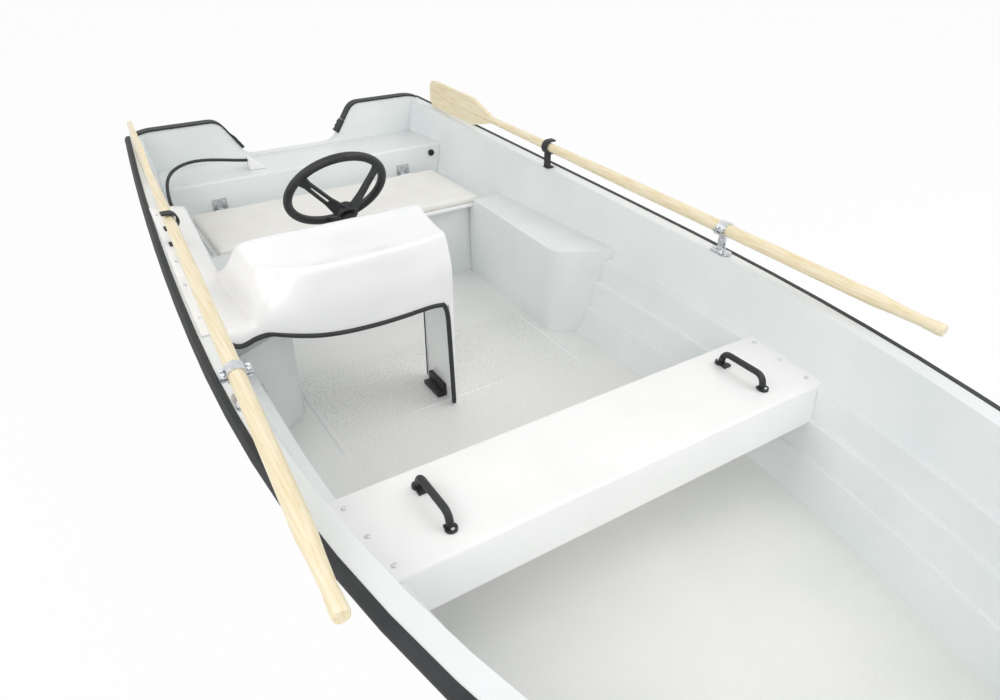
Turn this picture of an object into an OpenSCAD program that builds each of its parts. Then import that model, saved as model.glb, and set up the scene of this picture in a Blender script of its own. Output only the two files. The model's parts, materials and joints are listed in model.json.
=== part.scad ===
// Open fishing dinghy with a side steering console, two oars and a hinged stern seat.
// Millimetres. +X to the bow, +Y to port, +Z up, origin under the keel amidships.

/* [Hull] */
// Length from the transom to the stem
hull_len = 4200; // [4000:10:4500]
// Beam over the gunwale flange
beam = 1600; // [1520:10:1700]
// Gunwale height amidships
gunwale_z = 552; // [535:1:590]
// Extra gunwale height at the stern
stern_rise = 134; // [110:1:138]
// Extra gunwale height at the bow
bow_rise = 140; // [100:5:180]
// Width of the gunwale flange
flange_w = 45; // [42:1:52]
// Height of the flat inner floor
floor_z = 86; // [80:1:94]
// Height of the moulded shelf that carries the thwart
shelf_z = 396; // [384:1:412]
// Thickness of each skin
skin_t = 5; // [4:0.5:6]
// Space between the hull and the liner
skin_gap = 3; // [2:0.5:5]
// Thickness of the keel plank
keel_t = 12; // [8:1:14]
// Width of the keel plank
keel_w = 200; // [140:5:220]

/* [Fender] */
// How far the rubber fender stands out
fender_w = 24; // [18:1:30]
// Height of the rubber fender
fender_h = 30; // [24:1:36]
// Thickness of the trim over the transom
trim_t = 7; // [5:0.5:10]

/* [Stern] */
// Thickness of the transom
transom_t = 40; // [34:1:48]
// Height of the transom wings
wing_z = 704; // [698:1:730]
// Height of the motor sill
sill_z = 540; // [525:1:560]
// Half width of the motor sill
sill_half = 205; // [170:5:240]
// Half width at the top of the motor cut-out
notch_half = 314; // [290:2:360]
// Depth of the ledge between transom and stern wall
ledge_d = 275; // [240:5:300]

/* [Seats] */
// Height of the side bench tops
bench_z = 430; // [412:1:446]
// Depth of the stern seat lid
lid_d = 449; // [400:1:480]
// Free space each side of the lid
lid_side_gap = 47; // [40:1:56]
// Thickness of the lid board
lid_board_t = 12; // [9:1:16]
// Thickness of the lid pad
pad_t = 32; // [24:1:40]
// Depth of the thwart top
thwart_d = 291; // [250:1:330]
// Distance of the thwart's rear edge from the transom
thwart_at = 2212; // [2150:1:2280]
// Depth of the thwart's sloping front flange
thwart_drop = 104; // [80:1:120]
// Thickness of the folded thwart sheet
thwart_t = 4; // [3:0.5:6]
// Distance between the grab handle feet
handle_span = 154; // [130:1:190]

/* [Console] */
// Distance of the console front from the transom
console_at = 1645; // [1610:5:1700]
// Depth of the console top
console_top_d = 190; // [170:1:210]
// Height of the console's front edge
console_front_z = 732; // [710:1:750]
// Height of the console's lower front edge
console_low_z = 487; // [476:1:505]
// Inboard face of the console
console_in_y = -50; // [-70:1:-30]
// Wall of the console moulding
console_t = 6; // [4:0.5:8]
// Depth of the console leg at the floor
leg_d = 190; // [150:5:230]

/* [Steering] */
// Diameter of the steering wheel
wheel_dia = 343; // [300:1:370]
// Thickness of the wheel rim
rim_dia = 28; // [22:1:32]
// Slope of the wheel's axis above the floor
wheel_slope = 35; // [30:1:40]
// Distance of the rim from the dash
wheel_reach = 170; // [150:1:190]
// Radius of the steering shaft
shaft_r = 9; // [7:0.5:12]
// Diameter of the steering cable
cable_dia = 13; // [10:1:15]

/* [Oars] */
// Length of each oar
oar_len = 2536; // [2400:4:2700]
// Length from the rowlock to the handle end
oar_inboard = 720; // [660:5:780]
// Radius of the oar loom
loom_r = 20; // [17:0.5:22]
// Width of the oar blade
blade_w = 118; // [100:1:124]
// Thickness of the oar blade
blade_t = 16; // [12:1:20]
// Distance of the rowlock from the transom
rowlock_at = 1974; // [1930:1:2010]
// Height of the oar axis over the gunwale
rowlock_rise = 80; // [74:1:90]
// Radius of the rowlock pin
pin_r = 6.4; // [5:0.1:8]
// Tilt of the stowed oar, blade up
oar_tilt = 2.9; // [2.6:0.1:3.4]
// Toe of the stowed oar, blade inboard
oar_toe = 3.2; // [2.8:0.1:3.6]
// Distance of the oar clip from the transom
clip_at = 1074; // [1020:1:1120]

/* [Fits] */
// Gap between pieces that are fastened together
seat_gap = 0.3; // [0.2:0.05:0.5]
// Radial clearance of turning pins
pin_clear = 0.05; // [0.02:0.01:0.1]
// Clearance between the benches and the liner
liner_clear = 0.5; // [0.3:0.1:0.9]
// Clearance between loom and clip
clip_clear = 1.5; // [1:0.1:3]

/* [Hidden] */
$fn = 48;

// Lines of the hull: shares of the length where each curve starts
full_u = 0.445;
sheer_aft_u = 0.633;
sheer_fore_u = 0.66;
forefoot_u = 0.72;
rake_u = 0.6;
stem_half = 70;
stern_tuck = 132;
stern_power = 1.6;
bow_power = 2.3;
sheer_power = 1.7;
floor_crown = 2;
forefoot_rise = 300;
stem_rake = 250;
station_count = 26;
bow_crowding = 1.3;
stern_x = -hull_len / 2;
bow_x = hull_len / 2;
inner_x = stern_x + transom_t;
keel_z = keel_t;
bilge_z = keel_z + 40;
bilge_out = 12;
keel_share = 0.17;
floor_share = 0.25;

// Strakes of the liner: share of the top half width, share of the height from floor to shelf
STRAKES = [[0.785, 0], [0.812, 0.16], [0.822, 0.364], [0.838, 0.376],
    [0.852, 0.685], [0.872, 0.7], [0.890, 0.985], [0.925, 1]];

// How far each layer stays back from the stem
liner_pull = 30;
under_pull = 22;
inner_pull = 7;
flange_pull = -10;
bow_clear = 1.5;

u_first = (transom_t + seat_gap) / hull_len;
STATIONS = [for (i = [0:station_count])
    u_first + (1 - u_first) * (1 - pow(1 - i / station_count, bow_crowding))];

function part_above(a, b) = max(0, a - b);
function u_at(x) = (x - stern_x) / hull_len;
function half_beam(u) = u < full_u
    ? beam / 2 - stern_tuck * pow((full_u - u) / full_u, stern_power)
    : stem_half + (beam / 2 - stem_half) * (1 - pow((u - full_u) / (1 - full_u), bow_power));
function sheer(u) = gunwale_z
    + stern_rise * pow(part_above(sheer_aft_u, u) / sheer_aft_u, sheer_power)
    + bow_rise * pow(part_above(u, sheer_fore_u) / (1 - sheer_fore_u), 2);
function rise(u) = forefoot_rise * pow(part_above(u, forefoot_u) / (1 - forefoot_u), 2);
function stretch(u) = u < sheer_fore_u ? 1
    : (sheer(u) - floor_z - rise(u)) / (gunwale_z - floor_z);
function top_half(u) = half_beam(u) - flange_w;

// Liner section from the middle of the floor to the edge of the flange, as [y, z]
function liner_path(u) = let (top = top_half(u), low = floor_z + rise(u))
    concat([[floor_share * top, low + floor_crown]],
        [for (s = STRAKES) [s[0] * top, low + s[1] * (shelf_z - floor_z) * stretch(u)]],
        [[top, sheer(u)], [half_beam(u), sheer(u)]]);

// Half width inside the liner at a place and height
function inside_half(x, z) = let (p = liner_path(u_at(x)))
    lookup(z, [for (i = [1:len(p) - 2]) [p[i][1], p[i][0]]]);

function side_normal(a, b) = let (d = b - a) [d[1], -d[0]] / norm(d);
function offset_path(p, d) = let (n = len(p)) [for (i = [0:n - 1])
    let (a = side_normal(p[max(i - 1, 0)], p[max(i, 1)]),
        b = side_normal(p[min(i, n - 2)], p[min(i + 1, n - 1)]), m = a + b)
    p[i] + d * 2 * m / (m * m)];
function flip(p) = [for (i = [len(p) - 1:-1:0]) p[i]];
function mix(a, b, t) = a + (b - a) * t;

// Path with each inner corner rounded by a curve of the given reach
function round_path(p, reach, steps = 4) = let (n = len(p)) concat([p[0]],
    [for (i = [1:n - 2], k = [0:steps])
        let (t = k / steps,
            a = p[i] + (p[i - 1] - p[i]) / norm(p[i - 1] - p[i]) * reach,
            b = p[i] + (p[i + 1] - p[i]) / norm(p[i + 1] - p[i]) * reach)
        mix(mix(a, p[i], t), mix(p[i], b, t), t)],
    [p[n - 1]]);

// Hull skin: the liner's sides pushed out, over a shallow vee bottom
function hull_path(u, out, lift) = let (
        p = offset_path(liner_path(u), out), n = len(p),
        edge = STRAKES[0][0] * top_half(u) + bilge_out, low = rise(u) + lift)
    concat([[keel_share * top_half(u), keel_z + low], [edge - lift / 2, bilge_z + low]],
        [for (i = [2:n - 3]) p[i]],
        [[p[n - 2][0], sheer(u) - skin_t - 2 * seat_gap]]);

function place(u, p, pull) = let (low = keel_z + rise(u), v = (p[1] - low) / (sheer(u) - low))
    [stern_x + (hull_len - pull) * u
        - stem_rake * (1 - v) * pow(part_above(u, rake_u) / (1 - rake_u), 2), p[0], p[1]];
function both_sides(u, p, pull, tip) = let (n = len(p)) concat(
    [for (j = [n - 1:-1:0]) place(u, [-p[j][0], p[j][1]], j == n - 1 ? tip : pull)],
    [for (j = [0:n - 1]) place(u, p[j], j == n - 1 ? tip : pull)]);

function two_tris(a, b, c, d) = [[a, b, c], [a, c, d]];

// Trough between an inner and an outer skin, closed at the bow
module trough(inner, outer) {
    rows = len(inner);
    w = len(inner[0]);
    last = rows - 1;
    function in_id(i, k) = i * 2 * w + k;
    function out_id(i, k) = i * 2 * w + 2 * w - 1 - k;
    function loop_id(i, m) = i * 2 * w + m % (2 * w);
    sides = [for (i = [0:rows - 2], m = [0:2 * w - 1])
        each two_tris(loop_id(i, m), loop_id(i, m + 1), loop_id(i + 1, m + 1), loop_id(i + 1, m))];
    stern_end = [for (k = [0:w - 2])
        each two_tris(out_id(0, k), out_id(0, k + 1), in_id(0, k + 1), in_id(0, k))];
    bow_in = [for (j = [0:w / 2 - 2]) each two_tris(in_id(last, j), in_id(last, j + 1),
        in_id(last, w - 2 - j), in_id(last, w - 1 - j))];
    bow_out = [for (j = [0:w / 2 - 2]) each two_tris(out_id(last, j + 1), out_id(last, j),
        out_id(last, w - 1 - j), out_id(last, w - 2 - j))];
    bow_rim = two_tris(out_id(last, 0), in_id(last, 0), in_id(last, w - 1), out_id(last, w - 1));
    polyhedron([for (i = [0:last]) each concat(inner[i], flip(outer[i]))],
        concat(sides, stern_end, bow_in, bow_out, bow_rim));
}

// Everything inside the liner, kept a clearance away from it and open upwards
module inside_space(clear, headroom = 400) {
    rings = [for (u = STATIONS) let (p = offset_path(liner_path(u), -clear), n = len(p),
            q = concat([for (i = [0:n - 3]) p[i]],
                [[p[n - 2][0], sheer(u)], [p[n - 2][0], sheer(u) + headroom]]))
        let (pull = liner_pull + clear + bow_clear * max(0, (u - full_u) / (1 - full_u)))
        both_sides(u, q, pull, pull)];
    w = len(rings[0]);
    last = len(rings) - 1;
    sides = [for (i = [0:last - 1], k = [0:w - 1])
        let (a = i * w, b = (i + 1) * w, next = (k + 1) % w)
        each two_tris(b + next, a + next, a + k, b + k)];
    stern_end = [for (j = [0:w / 2 - 2])
        each two_tris(j, j + 1, w - 2 - j, w - 1 - j)];
    bow_end = [for (j = [0:w / 2 - 2]) let (o = last * w)
        each two_tris(o + j + 1, o + j, o + w - 1 - j, o + w - 2 - j)];
    polyhedron([for (r = rings) each r], concat(sides, stern_end, bow_end));
}

// Solid through rings that run anticlockwise as seen along the sweep
module sweep(rings) {
    w = len(rings[0]);
    last = len(rings) - 1;
    sides = [for (i = [0:last - 1], k = [0:w - 1])
        let (a = i * w, b = (i + 1) * w, next = (k + 1) % w)
        each two_tris(a + k, a + next, b + next, b + k)];
    polyhedron([for (r = rings) each r],
        concat([[for (k = [w - 1:-1:0]) k]], sides, [[for (k = [0:w - 1]) last * w + k]]));
}

// Sheet between two grids of points, closed all round
module ribbon(front, back) {
    rows = len(front);
    w = len(front[0]);
    last = rows - 1;
    function a_id(i, k) = i * 2 * w + k;
    function b_id(i, k) = i * 2 * w + 2 * w - 1 - k;
    function loop_id(i, m) = i * 2 * w + m % (2 * w);
    sides = [for (i = [0:rows - 2], m = [0:2 * w - 1])
        each two_tris(loop_id(i, m), loop_id(i, m + 1), loop_id(i + 1, m + 1), loop_id(i + 1, m))];
    start = [for (k = [0:w - 2])
        each two_tris(b_id(0, k), b_id(0, k + 1), a_id(0, k + 1), a_id(0, k))];
    finish = [for (k = [0:w - 2])
        each two_tris(a_id(last, k), a_id(last, k + 1), b_id(last, k + 1), b_id(last, k))];
    polyhedron([for (i = [0:last]) each concat(front[i], flip(back[i]))],
        concat(sides, start, finish));
}

// Round bar along a list of points
module bar(points, r, sides = 10) {
    n = len(points);
    sweep([for (i = [0:n - 1])
        let (d = points[min(i + 1, n - 1)] - points[max(i - 1, 0)], t = d / norm(d),
            ref = abs(t[2]) > 0.9 ? [1, 0, 0] : [0, 0, 1],
            c = cross(ref, t), a = c / norm(c), b = cross(a, t))
        [for (k = [0:sides - 1])
            points[i] + r * (cos(360 * k / sides) * a + sin(360 * k / sides) * b)]]);
}

// Flat profile in X and Z, spread to one side of a Y
module along_y(y_from, width) {
    translate([0, y_from, 0]) rotate([90, 0, 0]) linear_extrude(width) children();
}
// Flat profile in Y and Z, spread forward from an X
module along_x(x_from, width) {
    translate([x_from, 0, 0]) rotate([90, 0, 90]) linear_extrude(width) children();
}
module to_starboard() {
    mirror([0, 1, 0]) children();
}

// Colours
gelcoat = "whitesmoke";
cool_white = "gainsboro";
rubber_black = "dimgray";
zinc = "silver";
pine = "wheat";

// Hull and its strips
module hull() {
    out = skin_t + skin_gap;
    color(gelcoat) trough(
        [for (u = STATIONS) both_sides(u, hull_path(u, out, skin_t), inner_pull, inner_pull)],
        [for (u = STATIONS) both_sides(u, hull_path(u, out + skin_t, 0), 0, 0)]);
}

module liner() {
    color(cool_white) trough(
        [for (u = STATIONS) both_sides(u, liner_path(u), liner_pull, flange_pull)],
        [for (u = STATIONS) both_sides(u, offset_path(liner_path(u), skin_t), under_pull, flange_pull)]);
}

keel_aft = stern_x + 200;
keel_fore = stern_x + hull_len * forefoot_u - 60;
module keel_plank() {
    r = keel_w / 2;
    color(gelcoat) linear_extrude(keel_t - seat_gap) {
        translate([keel_aft + r, -r]) square([keel_fore - keel_aft - 2 * r, keel_w]);
        translate([keel_aft + r, 0]) circle(r);
        translate([keel_fore - r, 0]) circle(r);
    }
}

runner_y = 350;
runner_w = 40;
runner_h = 16;
module bilge_runners() {
    function bottom(u, y) = let (p = hull_path(u, skin_t + skin_gap + skin_t, 0))
        lookup(y, [[p[0][0], p[0][1]], [p[1][0], p[1][1]]]) - 2 * seat_gap;
    us = [for (i = [0:12]) mix(0.12, 0.6, i / 12)];
    rings = [for (u = us) let (x = stern_x + hull_len * u, y = runner_y, h = runner_w / 2)
        [[x, y + h, bottom(u, y + h)], [x, y + h * 0.7, bottom(u, y + h) - runner_h],
            [x, y - h * 0.7, bottom(u, y - h) - runner_h], [x, y - h, bottom(u, y - h)]]];
    color(gelcoat) {
        sweep(rings);
        to_starboard() sweep(rings);
    }
}

// Rubber fender along one gunwale to the middle of the bow
module fender_port() {
    n = len(STATIONS);
    edge = concat([[stern_x - trim_lip, half_beam(0)]], [for (u = STATIONS) let (p = place(u, [half_beam(u), sheer(u)], flange_pull)) [p[0], p[1]]],
        [[bow_x - flange_pull, 0]]);
    heights = concat([sheer(0)], [for (u = STATIONS) sheer(u)], [sheer(1)]);
    // Section as [distance outwards, height]
    w = fender_w;
    h = fender_h;
    d_section = [[0.5, 2], [w * 0.6, 2], [w * 0.92, -h * 0.22], [w, -h * 0.5 + 1],
        [w * 0.92, -h * 0.7], [w * 0.6, 2 - h], [0.5, 2 - h]];
    lines = [for (s = d_section) offset_path(edge, -s[0])];
    color(rubber_black) sweep([for (i = [0:n + 1])
        [for (k = [0:len(d_section) - 1]) [lines[k][i][0], max(0, lines[k][i][1]), heights[i] + d_section[k][1]]]]);
}
module fender_starboard() {
    to_starboard() fender_port();
}

wing_bend = 38;
// Transom outline: hull section below, wings and motor cut-out above
function wing_top() = concat([[half_beam(0), sheer(0) - fender_h]],
    round_path([[half_beam(0), sheer(0)], [half_beam(0) - 50, wing_z], [notch_half, wing_z],
        [sill_half, sill_z], [0, sill_z]], wing_bend, 6));
function transom_half() = let (p = hull_path(0, skin_t + skin_gap + skin_t, 0))
    concat([for (i = [0:len(p) - 2]) p[i]], wing_top());
module transom() {
    half = transom_half();
    color(gelcoat) along_x(stern_x, transom_t)
        polygon(concat(half, [for (p = flip(half)) [-p[0], p[1]]]));
}

trim_lip = 4;
sleeve_len = 64;
sleeve_ribs = 6;
wing_slope = [sill_half - notch_half, sill_z - wing_z] / norm([sill_half - notch_half, sill_z - wing_z]);
sleeve_foot = [sill_half, sill_z] - wing_slope * (wing_bend + 6);
sleeve_head = sleeve_foot - wing_slope * sleeve_len;
module transom_trim() {
    top = concat([for (p = wing_top()) if (p[1] > sleeve_head[1] + 8 && p[0] < half_beam(0) - 4) p],
        [sleeve_head - wing_slope * 2]);
    inner = offset_path(top, seat_gap);
    outer = offset_path(top, seat_gap + trim_t);
    color(rubber_black) for (side = [0, 1]) mirror([0, side, 0])
        along_x(stern_x - trim_lip, transom_t + 2 * trim_lip) polygon(concat(inner, flip(outer)));
}
module trim_sleeves() {
    lift = [wing_slope[1], -wing_slope[0]];
    pitch = sleeve_len / sleeve_ribs;
    function rib(k) = let (at = sleeve_foot - wing_slope * pitch * k, high = trim_t * (k % 2 == 0 ? 1.9 : 1.5))
        [at + lift * high, at - wing_slope * (pitch - 0.01) + lift * high];
    base = [sleeve_head + lift * seat_gap, sleeve_foot + lift * seat_gap];
    color(rubber_black) for (side = [0, 1]) mirror([0, side, 0])
        along_x(stern_x - trim_lip - 2, transom_t + 2 * trim_lip + 4)
            polygon(concat([for (k = [0:sleeve_ribs - 1]) each rib(k)], base));
}

// Bow: flotation seat, breasthook and painter eye
locker_x = bow_x - 620;
module bow_locker() {
    color(cool_white) intersection() {
        inside_space(liner_clear);
        along_y(beam / 2, beam) polygon(concat(
            round_path([[locker_x, floor_z], [locker_x + 25, bench_z], [bow_x, bench_z]], 24),
            [[bow_x, floor_z]]));
    }
}

hook_x = bow_x - 230;
hook_t = 6;
hook_crown = 10;
hook_inset = 4;
module breasthook() {
    us = [for (i = [0:6]) mix(u_at(hook_x), 0.985, i / 6)];
    lift = [0, 0, 3 * seat_gap];
    back = [for (u = us) let (
            edge = place(u, [half_beam(u) - hook_inset, sheer(u)], flange_pull) + lift,
            rim = place(u, [top_half(u), sheer(u)], liner_pull) + lift,
            mid = [rim[0], 0, rim[2] + hook_crown])
        [[edge[0], -edge[1], edge[2]], [rim[0], -rim[1], rim[2]], mid, rim, edge]];
    front = [for (r = back) [for (p = r) p + [0, 0, hook_t]]];
    color(gelcoat) ribbon(front, back);
}

eye_r = 14;
eye_t = 10;
eye_wall = 9;
eye_base_r = 16;
eye_base_t = 5;
eye_x = bow_x - 100;
eye_base_z = sheer((eye_x + eye_base_r - stern_x) / (hull_len - liner_pull)) + hook_crown + hook_t - seat_gap;
eye_z = eye_base_z + eye_base_t + eye_r + eye_wall - 2;
module bow_eye() {
    color(zinc) {
        along_y(eye_t / 2, eye_t) difference() {
            union() {
                translate([eye_x, eye_z]) circle(eye_r + eye_wall);
                translate([eye_x - eye_r - 2, eye_base_z + 1]) square([2 * eye_r + 4, eye_r + eye_wall]);
            }
            translate([eye_x, eye_z]) circle(eye_r);
        }
        translate([eye_x, 0, eye_base_z]) cylinder(h = eye_base_t, r = eye_base_r);
    }
}

// Stern: wall and ledge behind the seat
wall_x = inner_x + ledge_d;
wall_t = 6;
ledge_z = sill_z - 3;
module stern_ledge() {
    color(cool_white) intersection() {
        inside_space(liner_clear);
        along_y(beam / 2, beam) polygon([[wall_x - wall_t, floor_z], [wall_x, floor_z],
            [wall_x, ledge_z - 6], [wall_x - 6, ledge_z], [inner_x, ledge_z],
            [inner_x, ledge_z - wall_t], [wall_x - wall_t, ledge_z - wall_t]]);
    }
}

bolt_y = 580;
module stern_bolt() {
    color(rubber_black) translate([wall_x + seat_gap, bolt_y, ledge_z - 40]) rotate([0, 90, 0]) {
        difference() {
            cylinder(h = 6, r = 15);
            translate([0, 0, 2]) cylinder(h = 6, r = 9);
        }
        translate([0, 0, 2.2]) cylinder(h = 5, r = 6);
    }
}

// Stern seat: locker front, lid, pad and hinges
lid_rear_x = wall_x + 46;
lid_front_x = lid_rear_x + lid_d;
pad_top_z = bench_z + 12;
pad_z = pad_top_z - pad_t;
board_z = pad_z - 1 - lid_board_t;
rim_z = board_z - seat_gap;
bench_front_x = lid_front_x - 38;
rim_d = 42;
lid_half = min(inside_half(lid_rear_x, board_z), inside_half(lid_front_x, board_z)) - lid_side_gap;
module rear_bench() {
    t = wall_t;
    color(cool_white) difference() {
        intersection() {
            inside_space(liner_clear);
            union() {
                along_y(beam / 2, beam) polygon([[bench_front_x + 14, floor_z], [bench_front_x, rim_z],
                    [bench_front_x - rim_d, rim_z], [bench_front_x - rim_d, rim_z - t],
                    [bench_front_x - t, rim_z - t], [bench_front_x + 14 - t, floor_z]]);
                translate([wall_x + seat_gap, -beam / 2, rim_z - t]) cube([rim_d, beam, t]);
                translate([wall_x + rim_d, -beam / 2, rim_z - t])
                    cube([bench_front_x - wall_x - rim_d - rim_d / 2, beam, t]);
            }
        }
        translate([wall_x + rim_d, -lid_half + rim_d, rim_z - 2 * t])
            cube([bench_front_x - rim_d - wall_x - rim_d, 2 * lid_half - 2 * rim_d, 3 * t]);
    }
}

function rounded_box(x0, x1, y1, r) = round_path([[x0, 0], [x0, y1], [x1, y1], [x1, 0]], r);
module seat_outline(inset, r) {
    half = rounded_box(lid_rear_x + inset, lid_front_x - inset, lid_half - inset, r);
    polygon(concat(half, [for (p = flip(half)) [p[0], -p[1]]]));
}
module seat_lid() {
    color(gelcoat) translate([0, 0, board_z]) linear_extrude(lid_board_t) seat_outline(0, 22);
}
pad_inset = 2;
pad_bevel = 7;
module seat_pad() {
    z = board_z + lid_board_t + seat_gap;
    h = pad_top_z - z;
    color("ivory") {
        translate([0, 0, z]) linear_extrude(h - pad_bevel) seat_outline(pad_inset, 26);
        translate([0, 0, z + h - pad_bevel]) linear_extrude(pad_bevel) seat_outline(pad_inset + pad_bevel, 26);
    }
}

hinge_y = 426;
hinge_w = 60;
knuckle_r = 5;
hinge_pin_r = 2.5;
hinge_x = lid_rear_x - 11;
hinge_z = pad_z + 14;
leaf_t = 3;
leaf_up = 40;
module knuckle(y_mid, w, bore) {
    translate([hinge_x, y_mid + w / 2, hinge_z]) rotate([90, 0, 0]) difference() {
        cylinder(h = w, r = knuckle_r);
        translate([0, 0, -1]) cylinder(h = w + 2, r = bore);
    }
}
module hinge_wall_leaves() {
    mid = hinge_w / 3 - 0.6;
    color(zinc) for (side = [-1, 1]) {
        translate([wall_x + seat_gap, side * hinge_y - hinge_w / 2, hinge_z - 6])
            cube([leaf_t, hinge_w, leaf_up + 6]);
        translate([wall_x + seat_gap + 1, side * hinge_y - mid / 2, hinge_z - knuckle_r])
            cube([hinge_x - knuckle_r + 1 - wall_x - seat_gap - 1, mid, leaf_t]);
        translate([hinge_x - knuckle_r - 1, side * hinge_y - mid / 2, hinge_z - knuckle_r])
            cube([knuckle_r - hinge_pin_r, mid, knuckle_r]);
        knuckle(side * hinge_y, mid, hinge_pin_r + pin_clear);
    }
}
module hinge_lid_leaves() {
    third = hinge_w / 3;
    edge_x = lid_rear_x - seat_gap - leaf_t;
    color(zinc) for (side = [-1, 1]) {
        translate([edge_x, side * hinge_y - hinge_w / 2, board_z])
            cube([leaf_t, hinge_w, hinge_z - board_z - knuckle_r - 1]);
        for (end = [-1, 1]) {
            translate([hinge_x, side * hinge_y + end * third - third / 2 + 0.3, hinge_z - knuckle_r - 2])
                cube([edge_x + leaf_t - hinge_x, third - 0.6, knuckle_r]);
            knuckle(side * hinge_y + end * third, third - 0.6, hinge_pin_r - 0.5);
        }
        translate([hinge_x, side * hinge_y + hinge_w / 2, hinge_z]) rotate([90, 0, 0])
            cylinder(h = hinge_w, r = hinge_pin_r);
    }
}

// Side benches, moulded flotation boxes with a rounded front end
lid_front_gap = 6;
bench_in_aft = 520;
bench_in_fore = 495;
bench_corner_x = stern_x + 1450;
bench_nose_x = stern_x + 1605;
module side_bench(side) {
    aft = bench_front_x + 14 + seat_gap;
    plan = round_path([[aft, bench_in_aft], [bench_corner_x, bench_in_fore], [bench_nose_x, beam / 2]], 60, 6);
    notch = lid_front_x + lid_front_gap - aft + 1;
    color(cool_white) difference() {
        intersection() {
            inside_space(liner_clear);
            translate([0, 0, floor_z]) linear_extrude(bench_z - floor_z)
                polygon([for (p = concat(plan, [[aft, beam / 2]])) [p[0], side * p[1]]]);
        }
        translate([aft - 1, -beam / 2, rim_z]) cube([notch, beam, bench_z]);
    }
}
module side_bench_port() {
    side_bench(1);
}
module side_bench_starboard() {
    side_bench(-1);
}

// Console moulding on the starboard side
console_x = stern_x + console_at;
console_out_y = -690;
console_rear_x = console_x - console_top_d;
console_rear_z = console_front_z + 4;
dash_len = 190;
dash_dir = [-sin(wheel_slope), -cos(wheel_slope)];
dash_top = [console_rear_x, console_rear_z];
dash_low = dash_top + dash_dir * dash_len;
console_line = [[console_x + 2, console_low_z - 60], [console_x + 12, console_low_z + 90],
    [console_x - 12, console_front_z], dash_top, dash_low];
console_bend = 26;
leg_front_x = console_x + 10;
leg_rear_x = leg_front_x - leg_d;
foot_z = floor_z + floor_crown + liner_clear;
// Lower front edge as [y, z], from the gunwale to the leg
function low_edge() = [[console_out_y, gunwale_z - 12], [console_out_y + 60, console_low_z + 22],
    [console_out_y + 140, console_low_z + 4], [console_out_y + 300, console_low_z],
    [console_in_y - 110, console_low_z - 2], [console_in_y - 45, console_low_z - 14], [console_in_y, console_low_z - 40]];
console_corner = 60;
tray_d = 16;
// Outline seen from the bow, drawn in by a wall thickness and left open below for the inside
function console_front(wall) = let (top = console_rear_z + 2 - wall,
        crest = round_path([[console_in_y - wall, console_low_z], [console_in_y - wall, top],
            [console_out_y + 60 + wall, top], [console_out_y + wall, gunwale_z + 30]], console_corner, 6))
    concat(wall > 0 ? [[console_out_y + wall, console_low_z - 200], [console_in_y - wall, console_low_z - 200]] : low_edge(),
        crest);
// Tray in the top, as [x, y]
function tray_plan(grow) = let (aft = console_rear_x + 14 - grow, fore = console_x - 28 + grow,
        near = console_in_y - 36 + grow, far = console_out_y + 88 - grow, cut = 50)
    [[aft, far + 12], [aft + 12, far], [fore - cut, far], [fore - cut * 0.3, far + cut * 0.3], [fore, far + cut],
        [fore, near - cut], [fore - cut * 0.3, near - cut * 0.3], [fore - cut, near], [aft + 12, near], [aft, near - 12]];
module tray(grow, low) {
    translate([0, 0, low]) linear_extrude(200) polygon(tray_plan(grow));
}
module console() {
    skin = round_path(console_line, console_bend, 6);
    inner = offset_path(skin, -console_t);
    n = len(inner);
    sill = [[leg_rear_x - 20, console_low_z + 30], [leg_rear_x, console_low_z - 60]];
    below = console_low_z - 260;
    deep = console_rear_z - tray_d;
    color("white") {
        difference() {
            intersection() {
                along_y(console_in_y, console_in_y - console_out_y) polygon(concat(skin, sill));
                along_x(console_rear_x - 400, 800) polygon(console_front(0));
            }
            difference() {
                intersection() {
                    along_y(console_in_y + 20, console_in_y - console_out_y + 40) polygon(concat(
                        [[inner[0][0], below]], inner, [inner[n - 1] + dash_dir * 90, [console_rear_x - 300, below]]));
                    along_x(console_rear_x - 400, 800) polygon(console_front(console_t));
                }
                tray(console_t, deep - console_t);
            }
            tray(0, deep);
        }
        along_y(console_in_y - 0.2, console_t - 0.4) polygon([[leg_front_x - 8, console_low_z + 40],
            [leg_rear_x - 12, console_low_z + 40], [leg_rear_x, console_low_z - 62], [leg_rear_x, foot_z],
            [leg_front_x, foot_z], [leg_front_x - 6, console_low_z - 120]]);
    }
}

// Panel from the console along the gunwale to the stern, over the side bench
panel_t = 4;
panel_low_y = 630;
panel_aft_x = lid_front_x + 30;
module console_side_panel() {
    us = [for (i = [0:8]) mix(u_at(panel_aft_x), u_at(console_x - 20), i / 8)];
    rows = [for (u = us) let (x = stern_x + hull_len * u, z = sheer(u) + seat_gap,
            p = [[panel_low_y, bench_z + seat_gap], [top_half(u) - 22, z - 26], [top_half(u) - 6, z], [half_beam(u) - 6, z]],
            q = offset_path(p, -panel_t))
        [x, p, [for (i = [0:3]) i == 0 ? [q[0][0], p[0][1]] : q[i]]]];
    to_starboard() color("white") ribbon(
        [for (r = rows) [for (p = r[2]) [r[0], p[0], p[1]]]],
        [for (r = rows) [for (p = r[1]) [r[0], p[0], p[1]]]]);
}

edge_r = 6;
module console_trim() {
    gap = edge_r + 3 * seat_gap;
    front = [for (p = low_edge()) [console_x + 4 + (console_low_z - p[1]) * 0.22, p[0], p[1] - gap]];
    leg = [[leg_front_x + gap - 3, console_in_y - console_t / 2, console_low_z - 120],
        [leg_front_x + gap, console_in_y - console_t / 2, foot_z + 60],
        [leg_front_x + gap, console_in_y - console_t / 2, foot_z + edge_r]];
    color(rubber_black) {
        bar(concat(front, leg), edge_r, 8);
        bar([[leg_rear_x - gap, console_in_y - console_t / 2, console_low_z - 62],
            [leg_rear_x - gap, console_in_y - console_t / 2, foot_z + edge_r]], edge_r, 8);
    }
}

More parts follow.
